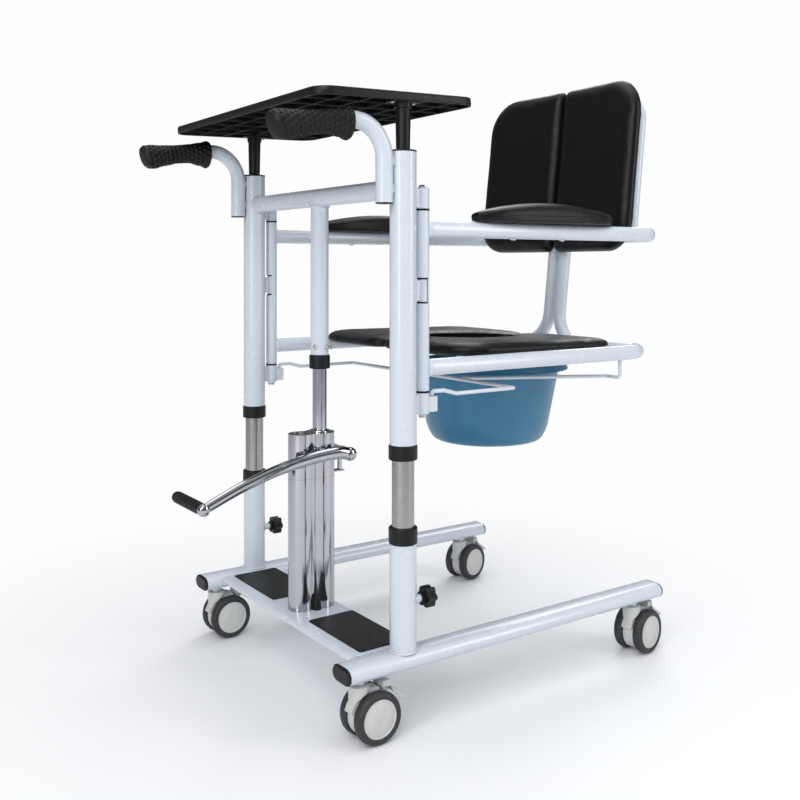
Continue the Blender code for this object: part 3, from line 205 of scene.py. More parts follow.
def make_floor():
    """A pale round floor that fades into the backdrop's colour with distance."""
    material = bpy.data.materials.new("floor")
    material.use_nodes = True
    nodes, links = material.node_tree.nodes, material.node_tree.links
    shader = nodes["Principled BSDF"]
    shader.inputs["Base Color"].default_value = (0.86, 0.865, 0.875, 1.0)
    shader.inputs["Roughness"].default_value = 0.6
    shader.inputs["Specular IOR Level"].default_value = 0.2
    glow = nodes.new("ShaderNodeEmission")
    glow.inputs["Color"].default_value = (*BACKDROP, 1.0)
    coordinates = nodes.new("ShaderNodeTexCoord")
    distance = nodes.new("ShaderNodeVectorMath")
    distance.operation = "LENGTH"
    fade = nodes.new("ShaderNodeMapRange")
    fade.interpolation_type = "SMOOTHSTEP"
    fade.inputs["From Min"].default_value, fade.inputs["From Max"].default_value = FLOOR_FADE
    rays = nodes.new("ShaderNodeLightPath")
    share = nodes.new("ShaderNodeMath")
    share.operation = "MULTIPLY"
    mix = nodes.new("ShaderNodeMixShader")
    links.new(coordinates.outputs["Object"], distance.inputs[0])
    links.new(distance.outputs["Value"], fade.inputs["Value"])
    links.new(fade.outputs["Result"], share.inputs[0])
    links.new(rays.outputs["Is Camera Ray"], share.inputs[1])
    links.new(share.outputs[0], mix.inputs["Fac"])
    links.new(shader.outputs[0], mix.inputs[1])
    links.new(glow.outputs[0], mix.inputs[2])
    links.new(mix.outputs[0], nodes["Material Output"].inputs["Surface"])
    shape = Shape()
    shape.turned([(0.0, -0.02), (14.0, -0.02), (14.0, 0.0), (0.0, 0.0)], segments=64)
    mesh = shape.mesh("floor", 30)
    mesh.materials.append(material)
    obj = bpy.data.objects.new("floor", mesh)
    scene.collection.objects.link(obj)


def make_stage():
    scene.view_settings.view_transform = "Standard"
    make_camera()
    make_world()
    make_floor()
    for light in LIGHTS:
        make_area_light(*light)


# Materials


class Finish:
    """A Principled material whose colour, roughness and bump come from procedural textures."""

    def __init__(self, name, colour, roughness, metallic=0.0, **constants):
        self.material = bpy.data.materials.new(name)
        self.material.use_nodes = True
        self.tree = self.material.node_tree
        self.shader = self.tree.nodes["Principled BSDF"]
        self.colour = colour
        self.shader.inputs["Base Color"].default_value = (*colour, 1.0)
        self.shader.inputs["Roughness"].default_value = roughness
        self.shader.inputs["Metallic"].default_value = metallic
        for socket, value in constants.items():
            self.shader.inputs[socket.replace("_", " ")].default_value = value
        self.coordinates = self.tree.nodes.new("ShaderNodeTexCoord")
        self.last_bump = None

    def noise(self, size, detail=3.0, stretch=(1.0, 1.0, 1.0), kind="ShaderNodeTexNoise"):
        """A texture whose features are size metres across, longer where stretch is above 1."""
        mapping = self.tree.nodes.new("ShaderNodeMapping")
        mapping.inputs["Scale"].default_value = [1.0 / share for share in stretch]
        texture = self.tree.nodes.new(kind)
        texture.inputs["Scale"].default_value = 1.0 / size
        if "Detail" in texture.inputs:
            texture.inputs["Detail"].default_value = detail
        self.tree.links.new(self.coordinates.outputs["Object"], mapping.inputs["Vector"])
        self.tree.links.new(mapping.outputs["Vector"], texture.inputs["Vector"])
        return texture.outputs["Distance"] if kind.endswith("Voronoi") else texture.outputs[0]

    def range_of(self, value, low, high, start=0.3, end=0.7):
        spread = self.tree.nodes.new("ShaderNodeMapRange")
        spread.inputs["From Min"].default_value = start
        spread.inputs["From Max"].default_value = end
        spread.inputs["To Min"].default_value = low
        spread.inputs["To Max"].default_value = high
        self.tree.links.new(value, spread.inputs["Value"])
        return spread.outputs["Result"]

    def mottled(self, size, darker, lighter, detail=3.0, stretch=(1.0, 1.0, 1.0)):
        """Colour that drifts between darker and lighter times the base colour."""
        mix = self.tree.nodes.new("ShaderNodeMix")
        mix.data_type = "RGBA"
        mix.inputs["A"].default_value = (*[c * darker for c in self.colour], 1.0)
        mix.inputs["B"].default_value = (*[min(1.0, c * lighter) for c in self.colour], 1.0)
        share = self.range_of(self.noise(size, detail, stretch), 0.0, 1.0)
        self.tree.links.new(share, mix.inputs["Factor"])
        self.tree.links.new(mix.outputs["Result"], self.shader.inputs["Base Color"])
        return self

    def rough(self, size, low, high, stretch=(1.0, 1.0, 1.0)):
        value = self.range_of(self.noise(size, 4.0, stretch), low, high)
        self.tree.links.new(value, self.shader.inputs["Roughness"])
        return self

    def bumped(self, size, depth, detail=3.0, stretch=(1.0, 1.0, 1.0), kind="ShaderNodeTexNoise"):
        """Adds a relief depth metres high to what the material already has."""
        bump = self.tree.nodes.new("ShaderNodeBump")
        bump.inputs["Strength"].default_value = 1.0
        bump.inputs["Distance"].default_value = depth
        self.tree.links.new(self.noise(size, detail, stretch, kind), bump.inputs["Height"])
        if self.last_bump:
            self.tree.links.new(self.last_bump, bump.inputs["Normal"])
        self.last_bump = bump.outputs["Normal"]
        self.tree.links.new(self.last_bump, self.shader.inputs["Normal"])
        return self


def make_materials():
    voronoi = "ShaderNodeTexVoronoi"
    rings = (1.0, 1.0, 0.02)
    finishes = {
        "white_paint": Finish(
            "white_paint", (0.61, 0.665, 0.735), 0.26, Coat_Weight=0.35, Coat_Roughness=0.10
        )
        .mottled(0.12, 0.99, 1.01)
        .rough(0.02, 0.24, 0.28)
        .bumped(0.0022, 0.000006),
        "chrome": Finish("chrome", (0.46, 0.46, 0.49), 0.10, 1.0)
        .mottled(0.06, 0.96, 1.03)
        .rough(0.03, 0.07, 0.13),
        "stainless": Finish("stainless", (0.36, 0.350, 0.340), 0.26, 1.0)
        .mottled(0.02, 0.96, 1.04, stretch=rings)
        .rough(0.03, 0.21, 0.30, stretch=rings)
        .bumped(0.02, 0.00002, 4.0, rings),
        "black_plastic": Finish("black_plastic", (0.005, 0.005, 0.006), 0.42, Specular_IOR_Level=0.3)
        .mottled(0.03, 0.85, 1.2)
        .rough(0.01, 0.34, 0.48)
        .bumped(0.0009, 0.00002),
        "black_rubber": Finish("black_rubber", (0.006, 0.006, 0.007), 0.45, Specular_IOR_Level=0.25)
        .mottled(0.02, 0.85, 1.25)
        .rough(0.008, 0.38, 0.52)
        .bumped(0.0012, 0.00004),
        "black_leather": Finish(
            "black_leather", (0.003, 0.003, 0.004), 0.36, Specular_IOR_Level=0.25
        )
        .mottled(0.05, 0.85, 1.2)
        .rough(0.015, 0.31, 0.43)
        .bumped(0.0016, 0.00007, kind=voronoi)
        .bumped(0.03, 0.0005, 2.0),
        "grey_plastic": Finish("grey_plastic", (0.58, 0.58, 0.57), 0.45)
        .mottled(0.02, 0.95, 1.03)
        .rough(0.01, 0.38, 0.50)
        .bumped(0.0010, 0.00002),
        "blue_plastic": Finish(
            "blue_plastic", (0.022, 0.165, 0.300), 0.34, Coat_Weight=0.15, Coat_Roughness=0.2
        )
        .mottled(0.10, 0.92, 1.08)
        .rough(0.02, 0.29, 0.40)
        .bumped(0.0025, 0.00003),
        "zinc": Finish("zinc", (0.62, 0.63, 0.65), 0.30, 1.0)
        .mottled(0.004, 0.85, 1.08)
        .rough(0.003, 0.22, 0.38),
        "caster_tyre": Finish("caster_tyre", (0.022, 0.023, 0.026), 0.52)
        .mottled(0.01, 0.85, 1.3)
        .rough(0.006, 0.44, 0.60)
        .bumped(0.0010, 0.00003),
    }
    return {name: finish.material for name, finish in finishes.items()}


# Shapes


def axis_turn(direction):
    """The rotation that takes +Z to direction."""
    return Vector((0.0, 0.0, 1.0)).rotation_difference(Vector(direction)).to_matrix()


def arc(centre, radius, start, end, steps):
    """Points on an arc in degrees, ends included."""
    points = []
    for i in range(steps + 1):
        angle = math.radians(start + (end - start) * i / steps)
        points.append((centre[0] + radius * math.cos(angle), centre[1] + radius * math.sin(angle)))
    return points


def band(inner, outer, low, high):
    """The profile of a ring, or of a rod where inner is 0."""
    return [(inner, low), (outer, low), (outer, high), (inner, high)]


def rounded_rectangle(low, high, radii, steps=8):
    """An outline whose corners, from low and counterclockwise, have the given radii."""
    corners = [(low[0], low[1], 1, 1), (high[0], low[1], -1, 1)]
    corners += [(high[0], high[1], -1, -1), (low[0], high[1], 1, -1)]
    points = []
    for i, (x, y, inward_x, inward_y) in enumerate(corners):
        centre = (x + inward_x * radii[i], y + inward_y * radii[i])
        points += arc(centre, radii[i], 180 + 90 * i, 270 + 90 * i, steps)
    return points


def rounded_path(points, bends, steps=BEND_STEPS):
    """A polyline whose inner corners are replaced by arcs of the given bend radii."""
    points = [Vector(point) for point in points]
    if not isinstance(bends, list):
        bends = [bends] * (len(points) - 2)
    path = [points[0]]
    for before, corner, after, bend in zip(points, points[1:], points[2:], bends):
        inward = (before - corner).normalized()
        onward = (after - corner).normalized()
        half = inward.angle(onward) / 2
        centre = corner + (inward + onward).normalized() * (bend / math.sin(half))
        start = corner + inward * (bend / math.tan(half)) - centre
        end = corner + onward * (bend / math.tan(half)) - centre
        sweep = start.angle(end)
        for i in range(steps + 1):
            share = i / steps
            weight_start = math.sin((1 - share) * sweep) / math.sin(sweep)
            weight_end = math.sin(share * sweep) / math.sin(sweep)
            path.append(centre + start * weight_start + end * weight_end)
    path.append(points[-1])
    return path


def smooth_curve(points, steps):
    """A Catmull-Rom curve through points."""
    points = [Vector(point) for point in points]
    points = [2 * points[0] - points[1], *points, 2 * points[-1] - points[-2]]
    curve = []
    for a, b, c, d in zip(points, points[1:], points[2:], points[3:]):
        for i in range(steps):
            t = i / steps
            curve.append(
                0.5 * (2 * b + (c - a) * t + (2 * a - 5 * b + 4 * c - d) * t**2)
                + 0.5 * (3 * b - a - 3 * c + d) * t**3
            )
    curve.append(points[-2])
    return curve


def blend_values(table, share):
    """The row of numbers at share in a table whose rows start with their share, eased between."""
    for before, after in zip(table, table[1:]):
        if share <= after[0]:
            t = (share - before[0]) / (after[0] - before[0])
            t = t * t * (3 - 2 * t)
            return [a + (b - a) * t for a, b in zip(before[1:], after[1:])]
    return list(table[-1][1:])


class Shape:
    """Vertices and faces of one piece, in metres from the middle between the columns."""

    def __init__(self):
        self.points = []
        self.faces = []

    def rings(self, rings, closed=False):
        """Adds faces through rings of equally many points. closed joins the last to the first."""
        count = len(rings[0])
        first = len(self.points)
        for ring in rings:
            self.points += [Vector(point) for point in ring]
        pairs = len(rings) if closed else len(rings) - 1
        for i in range(pairs):
            here = first + i * count
            there = first + (i + 1) % len(rings) * count
            for j in range(count):
                k = (j + 1) % count
                self.faces.append((here + j, here + k, there + k, there + j))
        if not closed:
            self.faces.append(tuple(range(first, first + count)))
            last = first + (len(rings) - 1) * count
            self.faces.append(tuple(range(last, last + count)))
        return self

    def turned(self, profile, centre=(0, 0, 0), direction=(0, 0, 1), segments=48, hollow=False):
        """Turns a profile of (radius, height) about the axis through centre."""
        turn = axis_turn(direction)
        centre = Vector(centre)
        rings = []
        for radius, height in profile:
            radius = max(radius, 0.00005)
            ring = []
            for i in range(segments):
                angle = 2 * math.pi * i / segments
                point = Vector((radius * math.cos(angle), radius * math.sin(angle), height))
                ring.append(centre + turn @ point)
            rings.append(ring)
        return self.rings(rings, closed=hollow)

    def tube(self, path, radii, segments=TUBE_SEGMENTS, side=None, flatness=1.0, closed=False):
        """A round or oval bar along a path. flatness scales its width along side."""
        path = [Vector(point) for point in path]
        if not isinstance(radii, list):
            radii = [radii] * len(path)
        last = len(path) - 1
        side = Vector(side) if side else None
        sections = []
        for i, (point, radius) in enumerate(zip(path, radii)):
            if closed:
                tangent = (path[(i + 1) % len(path)] - path[i - 1]).normalized()
            else:
                tangent = (path[min(i + 1, last)] - path[max(i - 1, 0)]).normalized()
            if side is None:
                side = tangent.orthogonal()
            side = (side - tangent * side.dot(tangent)).normalized()
            upward = tangent.cross(side)
            ring = []
            for j in range(segments):
                angle = 2 * math.pi * j / segments
                across = side * (math.cos(angle) * radius * flatness)
                ring.append(point + across + upward * (math.sin(angle) * radius))
            sections.append(ring)
        return self.rings(sections, closed=closed)

    def bead(self, centre, direction, radius, thickness=0.0022, lumps=22):
        """A weld bead round a joint: a ring whose thickness swells and thins."""
        turn = axis_turn(direction)
        steps = 3 * lumps
        path, radii = [], []
        for i in range(steps):
            angle = 2 * math.pi * i / steps
            offset = Vector((radius * math.cos(angle), radius * math.sin(angle), 0.0))
            path.append(Vector(centre) + turn @ offset)
            radii.append(thickness * (1.0 + 0.16 * math.sin(lumps * angle)))
        return self.tube(path, radii, 8, closed=True)

    def box(self, low, high):
        corners = [(low[0], low[1]), (high[0], low[1]), (high[0], high[1]), (low[0], high[1])]
        return self.rings([[(x, y, z) for x, y in corners] for z in (low[2], high[2])])

    def dome_bolt(self, centre, direction, radius=0.006, height=0.0045):
        """A washer with a domed head on it."""
        profile = [(radius * 1.35, 0.0), (radius * 1.35, 0.001), (radius, 0.0011)]
        profile += [(radius, 0.35 * height)]
        for i in range(1, 6):
            angle = math.pi / 2 * i / 5
            rise = 0.35 * height + 0.65 * height * math.sin(angle)
            profile.append((radius * math.cos(angle), rise))
        return self.turned(profile, centre, direction, 20)

    def moved(self, matrix):
        self.points = [matrix @ point for point in self.points]
        return self

    def mesh(self, name, smooth_angle):
        mesh = bpy.data.meshes.new(name)
        mesh.from_pydata([tuple(point) for point in self.points], [], self.faces)
        work = bmesh.new()
        work.from_mesh(mesh)
        bmesh.ops.recalc_face_normals(work, faces=work.faces)
        work.to_mesh(mesh)
        work.free()
        mesh.shade_smooth()
        mesh.set_sharp_from_angle(angle=math.radians(smooth_angle))
        return mesh


def add_piece(name, shape, material, body, replaces=(), smooth_angle=38, bevel=0.0):
    """Turns a shape into an object that rides on a body and may stand for CAD nodes."""
    mesh = shape.mesh(name, smooth_angle)
    mesh.transform(Matrix.Translation(ORIGIN))
    mesh.materials.append(MATERIALS[material])
    obj = bpy.data.objects.new(name, mesh)
    scene.collection.objects.link(obj)
    if bevel:
        add_bevel(obj, bevel)
    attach(obj, body)
    if replaces:
        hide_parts(*replaces)
    return obj


def add_bevel(obj, width, segments=3):
    bevel = obj.modifiers.new("edges", "BEVEL")
    bevel.width = width
    bevel.segments = segments
    bevel.limit_method = "ANGLE"
    bevel.angle_limit = math.radians(40)


# CAD nodes that stay


def make_smoothing():
    """A node group that joins a CAD mesh's split facets and shades shallow edges smooth."""
    group = bpy.data.node_groups.new("smooth_facets", "GeometryNodeTree")
    group.interface.new_socket("Geometry", in_out="INPUT", socket_type="NodeSocketGeometry")
    group.interface.new_socket("Geometry", in_out="OUTPUT", socket_type="NodeSocketGeometry")
    nodes, links = group.nodes, group.links
    start, end = nodes.new("NodeGroupInput"), nodes.new("NodeGroupOutput")
    plain = nodes.new("GeometryNodeRemoveAttribute")
    plain.inputs["Name"].default_value = "custom_normal"
    merge = nodes.new("GeometryNodeMergeByDistance")
    merge.inputs["Distance"].default_value = 0.00002
    smooth = nodes.new("GeometryNodeSetShadeSmooth")
    sharp = nodes.new("GeometryNodeSetShadeSmooth")
    sharp.domain = "EDGE"
    sharp.inputs["Shade Smooth"].default_value = False
    angle = nodes.new("GeometryNodeInputMeshEdgeAngle")
    steep = nodes.new("FunctionNodeCompare")
    steep.operation = "GREATER_THAN"
    steep.inputs["B"].default_value = math.radians(40)
    links.new(start.outputs[0], plain.inputs["Geometry"])
    links.new(plain.outputs[0], merge.inputs["Geometry"])
    links.new(merge.outputs[0], smooth.inputs["Geometry"])
    links.new(smooth.outputs[0], sharp.inputs["Geometry"])
    links.new(angle.outputs["Unsigned Angle"], steep.inputs["A"])
    links.new(steep.outputs["Result"], sharp.inputs["Selection"])
    links.new(sharp.outputs[0], end.inputs[0])
    return group


BEVELLED = {
    "footplate": 0.0008,
    "foot_pad": 0.0007,
    "clamp_knob": 0.0016,
    "brake_pedal": 0.0014,
    "caster_housing": 0.0010,
    "pump_body": 0.0008,
    "pump_head": 0.0008,
    "tray_post": 0.0006,
    "collar": 0.0006,
    "inner_column": 0.0005,
}


def finish_cad_nodes():
    smoothing = make_smoothing()
    for name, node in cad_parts.items():
        for slot in node.material_slots:
            slot.material = MATERIALS[slot.material.name.split(".")[0]]
        modifier = node.modifiers.new("smooth_facets", "NODES")
        modifier.node_group = smoothing
        for part, width in BEVELLED.items():
            if part in name:
                add_bevel(node, width, 2)


# Half seats


def leaned(x, height):
    """Where something that leans with the backrest stands, from where it is at the armrest."""
    return x + (height - ARMREST_HEIGHT) * BACK_LEAN


def add_hinge_tube(shape, sign):
    """The hinge tube, open on the column's side round the middle lug."""
    centre = (HINGE_X, sign * COLUMN_Y, 0)
    outer, bore, chamfer = HINGE_RADIUS, 0.0056, 0.0006
    notch = HINGE_NOTCH
    for low, high in ((0.622, notch[0]), (notch[1], 0.960)):
        profile = [(bore, low), (outer - chamfer, low), (outer, low + chamfer)]
        profile += [(outer, high - chamfer), (outer - chamfer, high), (bore, high)]
        shape.turned(profile, centre, segments=40, hollow=True)
    half_turn = math.radians(90)
    lean = -sign * math.radians(24)
    section = []
    for i in range(17):
        angle = lean - half_turn + 2 * half_turn * i / 16
        section.append((outer * math.cos(angle), outer * math.sin(angle)))
    for i in range(17):
        angle = lean + half_turn - 2 * half_turn * i / 16
        section.append((0.0110 * math.cos(angle), 0.0110 * math.sin(angle)))
    rings = []
    for height in (notch[0] - 0.0005, notch[1] + 0.0005):
        rings.append([(centre[0] + x, centre[1] + y, height) for x, y in section])
    shape.rings(rings)


def add_frame_tubes(shape, sign):
    """The armrest, the seat rail that turns up into the post, the back loop and the wire."""
    y = sign * COLUMN_Y
    start = HINGE_X + 0.0075
    corners = [(start, y, ARMREST_HEIGHT), (ARMREST_REAR, y, ARMREST_HEIGHT)]
    corners += [(ARMREST_REAR, sign * 0.004, ARMREST_HEIGHT)]
    shape.tube(rounded_path(corners, 0.050), FRAME_TUBE)

    post_y = sign * POST_Y
    corners = [(start, y, SEAT_HEIGHT), (SEAT_REAR, y, SEAT_HEIGHT)]
    corners += [(SEAT_REAR + 0.004, post_y, SEAT_HEIGHT)]
    corners += [(ARMREST_REAR - 0.002, post_y, ARMREST_HEIGHT)]
    path = rounded_path(corners, [0.055, 0.075])
    radii = []
    for point in path:
        share = min(1.0, max(0.0, (0.20 - abs(point.y)) / 0.10))
        radii.append(FRAME_TUBE + (POST_TUBE - FRAME_TUBE) * share)
    shape.tube(path, radii)

    outer_y, inner_y = sign * 0.2365, sign * 0.040
    outer_x, inner_x = 0.6960, 0.7095
    corners = [(outer_x, outer_y, ARMREST_HEIGHT), (leaned(outer_x, LOOP_TOP), outer_y, LOOP_TOP)]
    corners += [(leaned(inner_x, LOOP_TOP), inner_y, LOOP_TOP), (inner_x, inner_y, ARMREST_HEIGHT)]
    shape.tube(rounded_path(corners, 0.045), LOOP_TUBE)

    corners = [(0.581, y, SEAT_HEIGHT - 0.008), (0.581, y, WIRE_HEIGHT)]
    corners += [(0.581, sign * 0.268, WIRE_HEIGHT), (0.290, sign * 0.120, WIRE_HEIGHT)]
    path = rounded_path(corners, 0.010, 6)
    shape.tube(path, WIRE_RADIUS, 16)
    end, before = path[-1], path[-2]
    ahead = (end - before).normalized()
    nose = [(WIRE_RADIUS * math.cos(a), WIRE_RADIUS * math.sin(a)) for a in (0.0, 0.5, 1.0, 1.5)]
    shape.turned(nose, end - ahead * 0.0002, ahead, 16)


def add_frame_welds(shape, sign):
    y = sign * COLUMN_Y
    for height in (ARMREST_HEIGHT, SEAT_HEIGHT):
        shape.bead((HINGE_X + 0.0112, y, height), (1, 0, 0), FRAME_TUBE - 0.0008, 0.0026)
    for loop_y, loop_x in ((0.2365, 0.6975), (0.040, 0.7105)):
        centre = (loop_x, sign * loop_y, ARMREST_HEIGHT + FRAME_TUBE - 0.0008)
        shape.bead(centre, (BACK_LEAN, 0, 1), LOOP_TUBE, 0.0018, 18)
    shape.bead((ARMREST_REAR - 0.002, sign * POST_Y, ARMREST_HEIGHT - FRAME_TUBE), (0, 0, 1), 0.0148)
    shape.bead((0.581, y, SEAT_HEIGHT - FRAME_TUBE), (0, 0, 1), WIRE_RADIUS, 0.0014, 10)


def build_seat_frames():
    for side, sign in SIDES.items():
        shape = Shape()
        add_hinge_tube(shape, sign)
        add_frame_tubes(shape, sign)
        add_frame_welds(shape, sign)
        name = f"seat_tubes_{side}"
        add_piece(name, shape, "white_paint", f"seat_{side}", [f"seat_frame_{side}"])
        bolts = Shape()
        for x in (0.270, 0.405):
            bolts.dome_bolt((x, sign * COLUMN_Y, ARMREST_HEIGHT - FRAME_TUBE + 0.001), (0, 0, -1))
        for x in (0.200, 0.480):
            bolts.dome_bolt((x, sign * 0.290, SEAT_HEIGHT - 0.0115), (0, sign * -0.7, -0.7), 0.004)
        add_piece(f"pad_bolts_{side}", bolts, "zinc", f"seat_{side}")
        straps = Shape()
        for x in (0.200, 0.480):
            low_y, high_y = sorted((sign * 0.225, sign * 0.297))
            straps.box((x - 0.012, low_y, 0.6715), (x + 0.012, high_y, 0.6747))
        add_piece(f"pad_straps_{side}", straps, "white_paint", f"seat_{side}", bevel=0.0006)


# Soft goods

MIDDLE_GAP = 0.0006
PAD_VOXEL = 0.005
ARM_PAD_VOXEL = 0.004
CUSHION_SWELL = 0.0030
SEAT_PAD_SWELL = 0.0045
ARM_PAD_SWELL = 0.0015


def outline_inset(outline, inset):
    """The outline moved inwards. It runs counterclockwise."""
    moved = []
    count = len(outline)
    for i, (u, v) in enumerate(outline):
        before, after = outline[i - 1], outline[(i + 1) % count]
        along = Vector((after[0] - before[0], after[1] - before[1])).normalized()
        moved.append((u - along.y * inset, v + along.x * inset))
    return moved


def cleaned(outline):
    """The outline without points that repeat."""
    kept = []
    for point in outline:
        if not kept or (Vector(point) - Vector(kept[-1])).length > 0.0008:
            kept.append(point)
    return kept


def layered(outline, layers):
    """A closed shape with flat ends. Each layer is (height, inset of the outline)."""
    shape = Shape()
    rings = []
    for height, inset in layers:
        rings.append([(u, v, height) for u, v in outline_inset(outline, inset)])
    return shape.rings(rings)


def remeshed(shape, voxel, smoothing):
    """The shape as an even mesh of voxel-sized faces, with its edges softened."""
    mesh = shape.mesh("soft", 180)
    obj = bpy.data.objects.new("soft", mesh)
    scene.collection.objects.link(obj)
    remesh = obj.modifiers.new("remesh", "REMESH")
    remesh.mode = "VOXEL"
    remesh.voxel_size = voxel
    graph = bpy.context.evaluated_depsgraph_get()
    work = bmesh.new()
    work.from_object(obj, graph)
    bpy.data.objects.remove(obj)
    for _ in range(smoothing):
        bmesh.ops.smooth_vert(work, verts=work.verts, factor=0.5, use_axis_x=True,
                              use_axis_y=True, use_axis_z=True)
    even = bpy.data.meshes.new("soft")
    work.to_mesh(even)
    work.free()
    return even


def inflate(mesh, cap, pressure=4.0, frames=20):
    """Blows the mesh up as cloth. No point moves further than cap."""
    obj = bpy.data.objects.new("inflated", mesh)
    scene.collection.objects.link(obj)
    cloth = obj.modifiers.new("pressure", "CLOTH")
    cloth.settings.use_pressure = True
    cloth.settings.uniform_pressure_force = pressure
    cloth.settings.effector_weights.gravity = 0.0
    for number in range(1, frames + 1):
        scene.frame_set(number)
    graph = bpy.context.evaluated_depsgraph_get()
    swollen = [vertex.co.copy() for vertex in obj.evaluated_get(graph).data.vertices]
    for vertex, end in zip(mesh.vertices, swollen):
        step = end - vertex.co
        if step.length > cap:
            step *= cap / step.length
        vertex.co = vertex.co + step
    bpy.data.objects.remove(obj)
    scene.frame_set(1)


def add_soft_piece(name, mesh, side, replaces):
    """A padded piece from a mesh made for the near side, mirrored for the far side."""
    if side == "far":
        mesh.transform(Matrix.Diagonal((1.0, -1.0, 1.0, 1.0)))
        mesh.flip_normals()
    mesh.transform(Matrix.Translation(ORIGIN))
    mesh.shade_smooth()
    mesh.materials.clear()
    mesh.materials.append(MATERIALS["black_leather"])
    obj = bpy.data.objects.new(name, mesh)
    scene.collection.objects.link(obj)
    subdivision = obj.modifiers.new("subdivision", "SUBSURF")
    subdivision.levels = subdivision.render_levels = 1
    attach(obj, f"seat_{side}")
    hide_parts(replaces)
    return obj


def add_piping(name, pad, path, side, radius=0.0009):
    """A sewn seam that follows the pad's surface along a closed path on the near side."""
    on_surface = []
    for point in path:
        point = Vector(point)
        if side == "far":
            point.y = -point.y
        found, place, _, _ = pad.closest_point_on_mesh(point + ORIGIN)
        on_surface.append(place - ORIGIN if found else point)
    shape = Shape().tube(on_surface, radius, 8, closed=True)
    return add_piece(name, shape, "black_leather", f"seat_{side}")


def cushion_place(y, height, depth):
    """A point of the near cushion. depth counts from its front, which bows and leans."""
    share = (y - CUSHION_INNER_Y) / (CUSHION_OUTER_Y - CUSHION_INNER_Y)
    x = leaned(CUSHION_FRONT, height) - CUSHION_WRAP * share**2 + depth
    step = min(1.0, max(0.0, (height - 0.943) / 0.012))
    most = 0.6797 + (1.0 - 0.6797) * step
    return Vector((min(x, most), -y, height))


def cushion_outline():
    low = (CUSHION_INNER_Y + 0.0005, CUSHION_BOTTOM + 0.0015)
    high = (CUSHION_OUTER_Y - 0.0015, CUSHION_TOP - 0.0015)
    return cleaned(rounded_rectangle(low, high, [0.020, 0.070, 0.090, 0.018], 8))


def build_cushions():
    outline = cushion_outline()
    layers = [(0.0010, 0.022), (0.0025, 0.015), (0.0060, 0.008), (0.0110, 0.0035)]
    layers += [(0.0170, 0.0008), (0.0285, 0.0), (0.0320, 0.003)]
    base = remeshed(layered(outline, layers), PAD_VOXEL, 2)
    for vertex in base.vertices:
        y, height, depth = vertex.co
        vertex.co = cushion_place(y, height, depth)
    base.flip_normals()
    inflate(base, CUSHION_SWELL)
    for vertex in base.vertices:
        vertex.co.y = min(vertex.co.y, -MIDDLE_GAP)
        if vertex.co.z < 0.945:
            vertex.co.x = min(vertex.co.x, 0.6812)
    seam = [cushion_place(u, v, 0.0255) for u, v in outline_inset(outline, -0.004)]
    for side in SIDES:
        name = f"backrest_cushion_{side}"
        pad = add_soft_piece(f"{name}_cover", base.copy(), side, name)
        add_piping(f"{name}_seam", pad, seam, side)


def seat_pad_outline():
    """Half of the commode seat from above: (x, y) with y counted away from the middle."""
    low = (SEAT_PAD_FRONT, SEAT_PAD_INNER_Y)
    high = (SEAT_PAD_REAR, SEAT_PAD_OUTER_Y)
    corners = rounded_rectangle(low, high, [0.040, 0.040, 0.050, 0.110], 8)
    bite = []
    steps = 30
    for i in range(steps + 1):
        angle = math.pi * (1 - i / steps)
        x = COMMODE_X + COMMODE_HALF[0] * math.cos(angle)
        bite.append((x, SEAT_PAD_INNER_Y + COMMODE_HALF[1] * math.sin(angle)))
    return cleaned(corners[:9] + bite + corners[9:])


def build_seat_pads():
    outline = outline_inset(seat_pad_outline(), 0.0015)
    layers = [(0.6760, 0.003), (0.6785, 0.0), (0.6890, 0.0)]
    layers += [(0.6930, 0.0025), (0.6958, 0.007), (0.6970, 0.013)]
    base = remeshed(layered(outline, layers), PAD_VOXEL, 2)
    for vertex in base.vertices:
        x, y, height = vertex.co
        share = (x - SEAT_PAD_FRONT) / (SEAT_PAD_REAR - SEAT_PAD_FRONT)
        slope = 1.0 + (SEAT_PAD_REAR_SHARE - 1.0) * share
        vertex.co = Vector((x, -y, SEAT_PAD_REST + (height - SEAT_PAD_REST) * slope))
    base.flip_normals()
    inflate(base, SEAT_PAD_SWELL)
    for vertex in base.vertices:
        vertex.co.y = min(vertex.co.y, -MIDDLE_GAP)
        vertex.co.z = max(vertex.co.z, 0.6752)
    seam = [(u, -v, 0.6800) for u, v in seat_pad_outline()]
    for side in SIDES:
        name = f"seat_pad_{side}"
        pad = add_soft_piece(f"{name}_cover", base.copy(), side, name)
        add_piping(f"{name}_seam", pad, seam, side)


def arm_pad_section(share):
    """Half the width and the two heights of the armrest pad: its side wall and its crown."""
    half = 0.0340 * max(0.40, (1 - abs(2 * share - 1) ** 4.0) ** 0.5)
    wall = 0.0150 + 0.005 * share
    crown = wall + 0.024 * max(0.0, math.sin(math.pi * share)) ** 0.8
    return half, wall, crown


